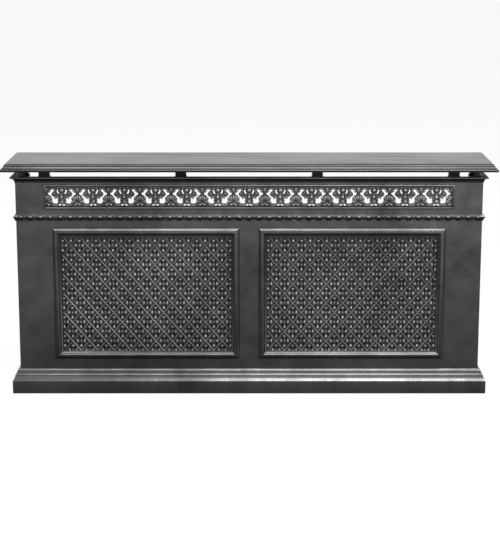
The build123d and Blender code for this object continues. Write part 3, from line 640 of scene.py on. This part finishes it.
def finished_tree(tree, node, instances, finish):
    """A tree with its end: the instances made real and given their finish."""
    solid = node("GeometryNodeRealizeInstances", None, {"Geometry": instances.outputs[0]})
    dressed = node("GeometryNodeSetMaterial", None, {"Geometry": solid.outputs[0], "Material": finish})
    node("NodeGroupOutput", None, {0: dressed.outputs[0]})
    return tree


def grid_tree():
    """Geometry nodes that set a shape out in an upright grid, turned about Z."""
    tree, node = started_tree("set_out", ("Shape", "Object"), ("Finish", "Material"), ("Across", "Int"),
                              ("Up", "Int"), ("Pitch across", "Float"), ("Pitch up", "Float"),
                              ("Centre", "Vector"), ("Turn", "Vector"))
    given = node("NodeGroupInput").outputs

    def reach(count, pitch):
        spaces = node("ShaderNodeMath", {"operation": "SUBTRACT"}, {0: count, 1: 1.0}).outputs[0]
        return node("ShaderNodeMath", {"operation": "MULTIPLY"}, {0: spaces, 1: pitch}).outputs[0]

    grid = node("GeometryNodeMeshGrid", None, {
        "Size X": reach(given["Across"], given["Pitch across"]),
        "Size Y": reach(given["Up"], given["Pitch up"]),
        "Vertices X": given["Across"], "Vertices Y": given["Up"]})
    stood = node("GeometryNodeTransform", None, {
        "Geometry": grid.outputs["Mesh"], "Rotation": (math.pi / 2, 0, 0)})
    turned = node("GeometryNodeTransform", None, {
        "Geometry": stood.outputs[0], "Rotation": given["Turn"], "Translation": given["Centre"]})
    shape = node("GeometryNodeObjectInfo", None, {"Object": given["Shape"]})
    set_out = node("GeometryNodeInstanceOnPoints", None, {
        "Points": turned.outputs[0], "Instance": shape.outputs["Geometry"], "Rotation": given["Turn"]})
    return finished_tree(tree, node, set_out, given["Finish"])


def screw_tree():
    """Geometry nodes that put a head and a shank on each point, along its "out" and by its sizes."""
    tree, node = started_tree("screws", ("Head", "Object"), ("Shank", "Object"), ("Finish", "Material"),
                              ("Slot seed", "Int"))
    given = node("NodeGroupInput").outputs

    def kept(name, kind):
        return node("GeometryNodeInputNamedAttribute", {"data_type": kind}, {"Name": name}).outputs[0]

    wide = kept("wide", "FLOAT")
    aligned = node("FunctionNodeAlignRotationToVector", {"axis": "Z"},
                   {"Vector": kept("out", "FLOAT_VECTOR")})
    chance = node("FunctionNodeRandomValue", {"data_type": "FLOAT"},
                  {"Min": 0.0, "Max": math.pi, "Seed": given["Slot seed"]})
    spin = node("ShaderNodeCombineXYZ", None, {"Z": chance.outputs["Value"]})
    tightened = node("FunctionNodeEulerToRotation", None, {0: spin.outputs[0]})
    way = node("FunctionNodeRotateRotation", {"rotation_space": "LOCAL"},
               {0: aligned.outputs[0], 1: tightened.outputs[0]})
    sets = []
    for label, along in (("Head", wide), ("Shank", kept("long", "FLOAT"))):
        shape = node("GeometryNodeObjectInfo", None, {"Object": given[label]})
        size = node("ShaderNodeCombineXYZ", None, {"X": wide, "Y": wide, "Z": along})
        sets.append(node("GeometryNodeInstanceOnPoints", None, {
            "Points": given["Geometry"], "Instance": shape.outputs["Geometry"],
            "Rotation": way.outputs[0], "Scale": size.outputs[0]}).outputs[0])
    both_sets = node("GeometryNodeJoinGeometry", None, {"Geometry": sets})
    return finished_tree(tree, node, both_sets, given["Finish"])


GRID, SCREWS = grid_tree(), screw_tree()


def grown(tree, mesh, wanted):
    """The plain mesh that a tree makes from a mesh, its inputs given by name."""
    holder = linked("holder", mesh)
    modifier = holder.modifiers.new("grow", "NODES")
    modifier.node_group = tree
    for item in tree.interface.items_tree:
        if item.item_type == "SOCKET" and item.in_out == "INPUT" and item.name in wanted:
            modifier[item.identifier] = wanted[item.name]
    bpy.context.view_layer.update()
    ready = holder.evaluated_get(bpy.context.evaluated_depsgraph_get())
    out = bpy.data.meshes.new_from_object(ready)
    holder.modifiers.remove(modifier)
    bpy.data.objects.remove(holder)
    return out


def pattern_of(shape, scale=MM):
    """An object to repeat, from points and faces."""
    return linked("pattern", mesh_of("pattern", *shape, scale))


def repeated(shape, across, up, pitch_across, pitch_up, centre, finish, turn=0.0):
    """The mesh of a shape (points and faces, mm) set out in a grid round a centre."""
    pattern = pattern_of(shape)
    wanted = {"Shape": pattern, "Finish": finish, "Across": across, "Up": up,
              "Pitch across": pitch_across * MM, "Pitch up": pitch_up * MM,
              "Centre": [c * MM for c in centre], "Turn": [0.0, 0.0, math.radians(turn)]}
    mesh = grown(GRID, bpy.data.meshes.new("nothing"), wanted)
    bpy.data.objects.remove(pattern)
    return mesh


def in_a_row(shape, count, pitch, centre, finish, turn=0.0):
    return repeated(shape, count, 1, pitch, 1, centre, finish, turn)


# ---------------------------------------------------------------- bead moulding
BEAD_PITCH = 34.0
NOSE_LENGTH = 7.0


def bead_unit():
    """An egg in its cup, and the dart beside it; x from the egg's middle."""
    ground, half = -2.0, BEAD_PITCH / 2
    egg = boss(oval(0, 1.6, 9.8, 6.8, 14), ground, -BEAD_REACH, 0.6, 0.92)
    cup = ridge([(-12.9, 7.0), (-12.9, 1.6), (-11.0, -3.6), (-6.0, -7.6), (0, -8.8),
                 (6.0, -7.6), (11.0, -3.6), (12.9, 1.6), (12.9, 7.0)],
                [1.6, 2.0, 2.4, 2.6, 2.8, 2.6, 2.4, 2.0, 1.6], ground, -5.6)
    dart = boss([(half - 3.2, 7.6), (half - 3.4, 3.4), (half - 2.2, -1.0), (half, -6.2), (half + 2.2, -1.0),
                 (half + 3.4, 3.4), (half + 3.2, 7.6), (half, 8.6)], ground, -BEAD_REACH, 0.5, 0.86)
    return join([egg, cup, dart])


def nose_station(side, way):
    """Where the plain nose of a corner begins, on the front or on a side."""
    if side == "front":
        return lambda out, z: (way * (HALF_WIDTH - NOSE_LENGTH), FRONT - out, z)
    return lambda out, z: (way * (HALF_WIDTH + out), FRONT + NOSE_LENGTH, z)


def make_bead_moulding():
    """A nosed strip with eggs and darts, and a plain nose at each corner; section points are (out, z)."""
    low, high = BEAD_CENTRE - BEAD_HEIGHT / 2, BEAD_CENTRE + BEAD_HEIGHT / 2
    strip = [(0, low), (2.2, low), (2.6, low + 1.6), (1.6, low + 4), (3.4, low + 6), (5.9, low + 7.6),
             (6.4, high - 6.6), (6.4, high - 4.4), (4.6, high - 3.4), (5.2, high - 2.6), (5.2, high - 0.8),
             (4.6, high), (0, high)]
    nose = [(0, low + 0.3), (3.4, low + 0.3), (3.8, low + 4), (5.4, low + 8), (7.8, low + 11.6),
            (BEAD_REACH, high - 8.4), (BEAD_REACH, high - 6.2), (7.6, high - 3.6), (4.0, high - 0.3),
            (0, high - 0.3)]
    strip, nose = eased(strip, 0.4), eased(nose, 0.8)
    depth = WALL - FRONT
    sides = {"front": (2 * HALF_WIDTH, (0, FRONT), 0, (-1, 1)),
             "left": (depth, (-HALF_WIDTH, FRONT + depth / 2), -90, (-1,)),
             "right": (depth, (HALF_WIDTH, FRONT + depth / 2), 90, (1,))}
    for side, (length, (x, y), turn, corners) in sides.items():
        name = f"{side}_bead_moulding"
        count = round(length / BEAD_PITCH)
        parts = [in_a_row(bead_unit(), count, BEAD_PITCH, (x, y, BEAD_CENTRE), BEAD_IRON, turn),
                 run_between(name, strip, RUNS[side])]
        parts += [run_between(name, nose, (nose_station(side, way), front_station(way))) for way in corners]
        piece(f"{name}_iron", tidied(merged(parts), 50), BEAD_IRON, stands_for=[name])


# ---------------------------------------------------------------- lattice
def lattice_flower():
    """The flower in one diamond: x and z from its middle."""
    ground, top = CARVED_FROM, FLOWER_TOP
    heart = [(-5.4, 17.4), (-4.8, 20.4), (-2.2, 21.4), (0, 19.2), (2.2, 21.4), (4.8, 20.4), (5.4, 17.4),
             (3.2, 13.2), (0, 11.4), (-3.2, 13.2)]
    tulip = [(-2.0, -11.2), (2.0, -11.2), (4.4, -15.6), (5.6, -21.0), (2.4, -21.8), (0, -25.2),
             (-2.4, -21.8), (-5.6, -21.0), (-4.4, -15.6)]
    stem = [(3.4, 9.6), (5.6, 4.4), (5.6, -4.4), (3.4, -9.6)]
    upper_leaf = [(7.8, 16.4), (12.8, 11.6), (18.4, 6.2), (21.8, 0.4)]
    lower_leaf = [(20.6, -4.4), (15.2, -9.8), (10.6, -14.2), (8.8, -19.0)]
    parts = [boss(heart, ground, top), boss(tulip, ground, top),
             boss(oval(0, 0, 2.8, 5.6, 6), ground, top + 0.9)]
    parts += both(boss(oval(11.8, 0, 4.4, 7.4), ground, top))
    parts += both(ridge(stem, [1.2, 1.9, 1.9, 1.2], ground, top + 1.6, 4))
    parts += both(ridge(upper_leaf, [1.8, 3.2, 3.2, 2.0], ground, top + 1.5, 4))
    parts += both(ridge(lower_leaf, [2.0, 3.2, 3.2, 1.8], ground, top + 1.5, 4))
    return join(parts)


def lattice_bars(centre_x, lean, top):
    """Parallel bars across the field, leaning one way (1 rises to the right)."""
    slope = lean * CELL_Z / CELL_X
    low_x, high_x = centre_x - FIELD_WIDTH / 2, centre_x + FIELD_WIDTH / 2
    low_z, high_z = ROWS_MIDDLE - ROWS * CELL_Z / 2, ROWS_MIDDLE + ROWS * CELL_Z / 2
    parts = []
    for number in range(1, COLUMNS + ROWS):
        start_z = low_z + CELL_Z * (number if lean < 0 else number - COLUMNS)
        ends = []
        for x in (low_x, high_x):
            z = start_z + slope * (x - low_x)
            if not low_z <= z <= high_z:
                z = min(max(z, low_z), high_z)
                x = low_x + (z - start_z) / slope
            ends.append((x, z))
        parts.append(ridge(ends, [BAR_WIDTH, BAR_WIDTH], CARVED_FROM, top))
    return join(parts)


def make_lattices():
    """The flowers, in two grids that alternate, and the crossing bars on each lattice casting."""
    flower = lattice_flower()
    half, rise = OPENING_WIDTH / 2 - LATTICE_GAP, FIELD_HEIGHT / 2 + FIELD_LAP
    for side, x in (("left", -GRILLE_X), ("right", GRILLE_X)):
        middle = (x, 0, ROWS_MIDDLE)
        meshes = [repeated(flower, COLUMNS, ROWS + 1, CELL_X, CELL_Z, middle, LATTICE_IRON),
                  repeated(flower, COLUMNS + 1, ROWS, CELL_X, CELL_Z, middle, LATTICE_IRON),
                  mesh_of("bars", *lattice_bars(x, -1, FALLING_BAR_TOP)),
                  mesh_of("bars", *lattice_bars(x, 1, RISING_BAR_TOP))]
        relief = trimmed(merged(meshes), (x - half, FIELD_Z - rise), (x + half, FIELD_Z + rise))
        piece(f"{side}_lattice_relief", smoothed(relief, 55), LATTICE_IRON)


# ---------------------------------------------------------------- frieze
def spiral(centre, outer, inner, start, turns, steps):
    """A volute's path, from its outer end in; turns may be negative."""
    out = []
    for i in range(steps + 1):
        t = i / steps
        a = math.radians(start + 360 * turns * t)
        r = outer + (inner - outer) * t
        out.append((centre[0] + r * math.cos(a), centre[1] + r * math.sin(a)))
    return out


def urn():
    """One urn with its foot and its flames, x from its middle and z from the opening's foot."""
    ground, top = CARVED_FROM, SCROLL_TOP
    bud = [(-5.8, 61.4), (-6.4, 57), (-5.0, 52.4), (-2.6, 49.4), (2.6, 49.4), (5.0, 52.4), (6.4, 57),
           (5.8, 61.4), (0, 62.8)]
    neck = [(-4.4, 37.4), (-3.6, 32), (-4.2, 27.8), (4.2, 27.8), (3.6, 32), (4.4, 37.4)]
    bowl = [(-6.4, 22.2), (-5.2, 16), (-6.6, 10.8), (6.6, 10.8), (5.2, 16), (6.4, 22.2)]
    foot = [(-3.6, 10.0), (-5.4, 1.0), (5.4, 1.0), (3.6, 10.0)]
    return [boss(bud, ground, top),
            boss(oval(0, 67.0, 4.8, 2.2), ground, top + 0.8),
            boss(oval(0, 46.6, 2.2, 2.0, 6), ground, top + 1.6),
            boss(oval(0, 41.6, 3.8, 3.6), ground, top),
            boss(neck, ground, top + 1),
            ridge([(-10.6, 24.4), (0, 25.2), (10.6, 24.4)], [2.8, 3.8, 2.8], ground, top),
            boss(bowl, ground, top + 0.8),
            boss(foot, ground, top + 1.2)]


def scrolls():
    """The scrolls and leaves at both sides of an urn."""
    ground, top = CARVED_FROM, SCROLL_TOP
    upper = [(19.4, 41.4), (21.6, 45.6)] + arc((32.0, 56.0), 9.4, 222, 14, 9)
    curl = spiral((28.2, 45.4), 5.0, 1.0, 250, -1.2, 9)
    middle = spiral((17.4, 33.4), 2.2, 6.6, -60, 0.62, 7) + [(11.2, 29.0), (11.0, 24.0)]
    lower = [(11.2, 20.6)] + arc((22.0, 19.0), 10.4, 190, 318, 8) + [(33.2, 15.0)]
    lower_rim = arc((22.0, 19.0), 14.6, 226, 322, 7)
    leaf = [(31.4, 31.0), (36.0, 34.6), (41.0, 36.0), (42.0, 30.0), (36.4, 24.0), (32.2, 25.0)]
    upper_leaf = [(35.0, 59.0), (37.2, 54.2), (41.5, 48.6), (46.6, 48.6), (47.0, 53.0), (43.4, 58.0),
                  (38.6, 61.0)]
    shapes = [boss(oval(12.8, 66.2, 3.4, 2.8, 6), ground, top + 0.4),
              ridge(upper, [2.0, 3.0] + [3.8] * 8 + [3.2, 2.4], ground, top + 0.3, 4),
              ridge(curl, [2.6] * 10, ground, top + 0.2, 4),
              ridge(middle, [2.0, 2.4, 2.8, 3.0] + [3.2] * 4 + [3.0, 2.4], ground, top + 0.4, 4),
              ridge(lower, [2.8] + [3.2] * 9 + [2.6], ground, top - 0.2, 4),
              ridge(lower_rim, [2.4] + [3.4] * 6 + [2.6], ground, top - 0.2, 4),
              boss(oval(20.8, 31.6, 5.0, 5.4), ground, top + 0.4),
              boss(leaf, ground, top + 1.2),
              boss(upper_leaf, ground, top + 1.2),
              boss(oval(37.0, 18.4, 4.8, 4.8), ground, top)]
    return [half for shape in shapes for half in both(shape)]


def palmette():
    """The shell between two urns and the leaf that hangs over it; x from its middle."""
    ground, top = CARVED_FROM, PALMETTE_TOP
    foot_z = 13.0
    leaf = [(0, 45.4), (4.2, 51), (6.4, 57.6), (8.2, 64.6), (3.6, 63.2), (0, 67.4), (-3.6, 63.2),
            (-8.2, 64.6), (-6.4, 57.6), (-4.2, 51)]
    outline = ((-7.5, 0.3), (-10, 0.7), (-7, 0.93), (0, 1.0), (7, 0.93), (10, 0.7), (7.5, 0.3))
    parts = [boss(oval(0, 11.6, 5.6, 3.4), ground, top + 1), boss(leaf, ground, top + 1.6)]
    for angle, length in ((0, 27.0), (20, 26.0), (41, 23.0), (64, 19.5)):
        petal = []
        for lean, share in outline:
            a = math.radians(90 - angle - lean * 0.92)
            petal.append((length * share * math.cos(a), foot_z + length * share * math.sin(a)))
        shape = boss(petal, ground, top + 0.006 * angle)
        parts += both(shape) if angle else [shape]
    return join(parts)


def make_frieze():
    """The carving on the frieze: an urn with its scrolls in each bay, and a palmette between two."""
    pitch, foot = FRIEZE_WIDTH / MOTIFS, (0, 0, FRIEZE_BOTTOM)
    meshes = [in_a_row(join(urn() + scrolls()), MOTIFS, pitch, foot, FRIEZE_IRON),
              in_a_row(palmette(), MOTIFS + 1, pitch, foot, FRIEZE_IRON)]
    half = FRIEZE_WIDTH / 2 - FRIEZE_GAP
    relief = trimmed(merged(meshes), (-half, FRIEZE_BOTTOM), (half, FRIEZE_BOTTOM + FRIEZE_HEIGHT))
    piece("frieze_relief", smoothed(relief, 50), FRIEZE_IRON)


# ---------------------------------------------------------------- screws
HEAD_RADIUS, HEAD_HEIGHT, HEAD_EASE = 0.9, 0.6, 0.08     # in shank diameters
SLOT_HALF, SLOT_DEPTH = 0.13, 0.26
HEAD_FLAT = 0.93                                         # share of the width that the eased top keeps


def slotted_head():
    """A cheese head one shank diameter in size, its seat at z 0, with a slot along y."""
    corner = math.degrees(math.acos(SLOT_HALF / HEAD_RADIUS))
    rim = arc((0, 0), HEAD_RADIUS, -corner, corner, 6)
    rim += [(-x, -y) for x, y in rim]
    count, half = len(rim), len(rim) // 2
    points = [(x, y, 0) for x, y in rim] + [(x, y, HEAD_HEIGHT - HEAD_EASE) for x, y in rim]
    for x, y in rim:
        beside_slot = abs(x) < SLOT_HALF * 1.1
        points.append((x if beside_slot else x * HEAD_FLAT, y * HEAD_FLAT, HEAD_HEIGHT))
    low = [len(points) + i for i in range(4)]
    ends = [0, half - 1, half, count - 1]
    points += [(*rim[i], HEAD_HEIGHT - SLOT_DEPTH) for i in ends]
    faces = [tuple(range(count))]
    for start in (0, half):
        last = start + half - 1
        for i in range(start, last):
            side = [i, i + 1, count + i + 1, count + i]
            if i + 1 == last:
                side.insert(2, low[ends.index(last)])
            if i == start:
                side.append(low[ends.index(start)])
            faces += [tuple(side), (count + i, count + i + 1, 2 * count + i + 1, 2 * count + i)]
        faces.append(tuple(2 * count + i for i in range(start, start + half)))
        faces.append((2 * count + start, 2 * count + last, count + last, low[ends.index(last)],
                      low[ends.index(start)], count + start))
    faces += [tuple(low), (half - 1, half, low[2], low[1]), (count - 1, 0, low[0], low[3])]
    return points, faces


def shank():
    """A shank one diameter thick, from the seat one unit down."""
    rim = arc((0, 0), 0.5, 0, 324, 9)
    count = len(rim)
    points = [(x, y, z) for z in (0.02, -1) for x, y in rim]
    return points, [tuple(range(count)), tuple(range(count, 2 * count))] + band(count, 0, 1)


def loose_parts(node):
    """The corners of each separate solid in a casting's node, in the room and always in the same order."""
    work = bmesh.new()
    work.from_mesh(node.data)
    bmesh.ops.remove_doubles(work, verts=work.verts, dist=MERGE * MM)
    found, parts = set(), []
    for first in work.verts:
        if first in found:
            continue
        found.add(first)
        reached, corners = [first], []
        while reached:
            vert = reached.pop()
            corners.append(node.matrix_world @ vert.co)
            for edge in vert.link_edges:
                other = edge.other_vert(vert)
                if other not in found:
                    found.add(other)
                    reached.append(other)
        parts.append(corners)
    work.free()
    return parts


def seat_of(corners):
    """A screw's seat, the way its head faces, its shank's width and its length, from its corners."""
    low = [min(corner[i] for corner in corners) for i in range(3)]
    high = [max(corner[i] for corner in corners) for i in range(3)]
    along = max(range(3), key=lambda i: high[i] - low[i])
    across = [i for i in range(3) if i != along]
    middle = Vector([(a + b) / 2 for a, b in zip(low, high)])
    width = (high[across[0]] - low[across[0]]) / (2 * HEAD_RADIUS)
    past_shank = 0.7 * width
    head = [corner[along] for corner in corners
            if math.hypot(*(corner[i] - middle[i] for i in across)) > past_shank]
    way = 1 if sum(head) / len(head) > middle[along] else -1
    seat = min(head) if way > 0 else max(head)
    tip = low[along] if way > 0 else high[along]
    out = Vector((0, 0, 0))
    out[along], middle[along] = way, seat
    return middle, out, width, abs(seat - tip)


def make_screws():
    """Slotted screws in place of the plain ones."""
    head, stem = pattern_of(slotted_head(), 1.0), pattern_of(shank(), 1.0)
    names = sorted(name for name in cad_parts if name.endswith("_screws"))
    for seed, name in enumerate(names):
        seats = [seat_of(corners) for corners in loose_parts(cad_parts[name])]
        points = bpy.data.meshes.new("seats")
        points.from_pydata([seat for seat, *_ in seats], [], [])
        for label, kind, place in (("out", "FLOAT_VECTOR", 1), ("wide", "FLOAT", 2), ("long", "FLOAT", 3)):
            values = points.attributes.new(label, kind, "POINT").data
            for value, given in zip(values, seats):
                setattr(value, "vector" if kind == "FLOAT_VECTOR" else "value", given[place])
        mesh = grown(SCREWS, points, {"Head": head, "Shank": stem, "Finish": STEEL, "Slot seed": seed})
        piece(f"slotted_{name}", smoothed(mesh), STEEL, stands_for=[name])
    for pattern in (head, stem):
        bpy.data.objects.remove(pattern)


# ---------------------------------------------------------------- finishes of the castings that stay
# The spacer blocks take the near-black iron of painted shade.
FINISHES = {"front_spacer_blocks": SHADE_BLACK_IRON, "rear_spacer_blocks": SHADE_BLACK_IRON, "frieze_grille": FRIEZE_IRON,
            "left_lattice_grille": LATTICE_IRON, "right_lattice_grille": LATTICE_IRON,
            "left_grille_gauze": GAUZE, "right_grille_gauze": GAUZE}
IRON_CASTINGS = ("panel", "moulding", "cornice", "plinth", "frame", "top_shelf")


def dress_castings():
    """A finish for every carried-over node: its own, iron with painted light and shade for castings, steel
    for the rest.
    """
    for name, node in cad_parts.items():
        usual = IRON if name.endswith(IRON_CASTINGS) else STEEL
        node.data.materials.clear()
        node.data.materials.append(FINISHES.get(name, usual))


# ---------------------------------------------------------------- camera, floor and light
LENS_PIXELS = 1352.0        # focal length, in pixels of the photograph
CAMERA_PLACE = (0.003, -4.6, 1.6)
CAMERA_DROP = 10.25         # degrees below level
FRAME_SLIDE = -0.19         # of the picture's height
FLOOR_WHITE = 0.9
FLOOR_REACH = 25.0


def set_camera():
    """The photograph's standing view: a long lens, a little above, the frame slid down a fifth."""
    data = bpy.data.cameras.new("camera")
    data.sensor_width = 36.0
    data.lens = LENS_PIXELS * data.sensor_width / PHOTO_HEIGHT
    data.shift_y = FRAME_SLIDE
    data.clip_end = 100
    camera = linked("camera", data)
    camera.location = CAMERA_PLACE
    camera.rotation_euler = (math.radians(90 - CAMERA_DROP), 0, 0)
    bpy.context.scene.camera = camera


def seen(nodes):
    """Whether the camera sees a thing straight or through glass, and whether in a gloss."""
    camera, glass, gloss = (nodes.add("ShaderNodeLightPath", out=f"Is {kind} Ray")
                            for kind in ("Camera", "Transmission", "Glossy"))
    return (camera + glass).clipped(0, 1), gloss


def set_floor():
    """A pale floor that keeps the shadow. In a gloss it glows darker near the cabinet and at the left, a
    painted reflection that shades the cabinet's faces.
    """
    floor = linked("floor", bpy.data.meshes.new("floor"))
    corners = [(x * FLOOR_REACH, y * FLOOR_REACH, 0) for x, y in ((-1, -1), (1, -1), (1, 1), (-1, 1))]
    floor.data.from_pydata(corners, [], [(0, 1, 2, 3)])
    material = bpy.data.materials.new("pale_floor")
    nodes = Nodes(material)
    pale = nodes.add("ShaderNodeBsdfDiffuse", None, {"Color": (0.16, 0.16, 0.16, 1)})
    where = nodes.place()
    # Painted reflection: the floor's glow in a gloss, dimmer near the cabinet and at the left.
    away = abs(nodes.part("Y", where)).clipped(0.2, 3.4)
    right = nodes.part("X", where).clipped(-2.6, 2.6)
    painted_reflection = (0.18 + 1.24 * away) * (0.68 + 0.7 * right)
    straight, glossy = seen(nodes)
    strength = FLOOR_WHITE * straight + painted_reflection * glossy
    glow = nodes.add("ShaderNodeEmission", None, {"Color": (1, 1, 1, 1), "Strength": strength})
    both_kinds = nodes.add("ShaderNodeAddShader", None, {0: pale, 1: glow})
    nodes.add("ShaderNodeOutputMaterial", None, {"Surface": both_kinds})
    floor.data.materials.append(material)


def soft_lamp(name, place, aim, size, radiance):
    """A rectangular soft lamp of an even brightness, whatever its size."""
    data = bpy.data.lights.new(name, "AREA")
    data.shape = "RECTANGLE"
    data.size, data.size_y = size
    data.energy = radiance * math.pi * size[0] * size[1]
    lamp = linked(name, data)
    lamp.location = place
    lamp.rotation_euler = (Vector(aim) - Vector(place)).to_track_quat("-Z", "Y").to_euler()


def set_light():
    """A white horizon, a dim ceiling, and soft lamps above, in front, at the right and behind."""
    bpy.context.scene.view_settings.view_transform = "Standard"
    world = bpy.data.worlds.new("studio")
    bpy.context.scene.world = world
    nodes = Nodes(world)
    ray = nodes.add("ShaderNodeTexCoord", out="Generated")
    horizon = 1 - nodes.part("Z", ray).clipped(0.2, 0.42)
    straight, glossy = seen(nodes)
    strength = 0.3 + 0.7 * (straight + glossy).clipped(0, 1) * horizon
    air = nodes.add("ShaderNodeBackground", None, {"Color": (1, 1, 1, 1), "Strength": strength})
    nodes.add("ShaderNodeOutputWorld", None, {"Surface": air})
    soft_lamp("top", (0.2, -1.0, 2.9), (0, -0.15, 0.5), (3.0, 1.0), 6.0)
    soft_lamp("key", (1.0, -3.5, 3.2), (0, -0.1, 0.3), (2.8, 1.2), 6.0)
    soft_lamp("side", (3.8, -2.4, 3.0), (0.1, -0.1, 0.4), (1.5, 1.5), 7.0)
    soft_lamp("rear", (-0.8, 2.6, 3.1), (0, 0.1, 0.35), (2.4, 1.2), 3.0)


dress_castings()
set_camera()
set_floor()
set_light()
make_mouldings()
make_frames()
make_shelf()
make_bead_moulding()
make_lattices()
make_frieze()
make_screws()

bpy.context.view_layer.update()
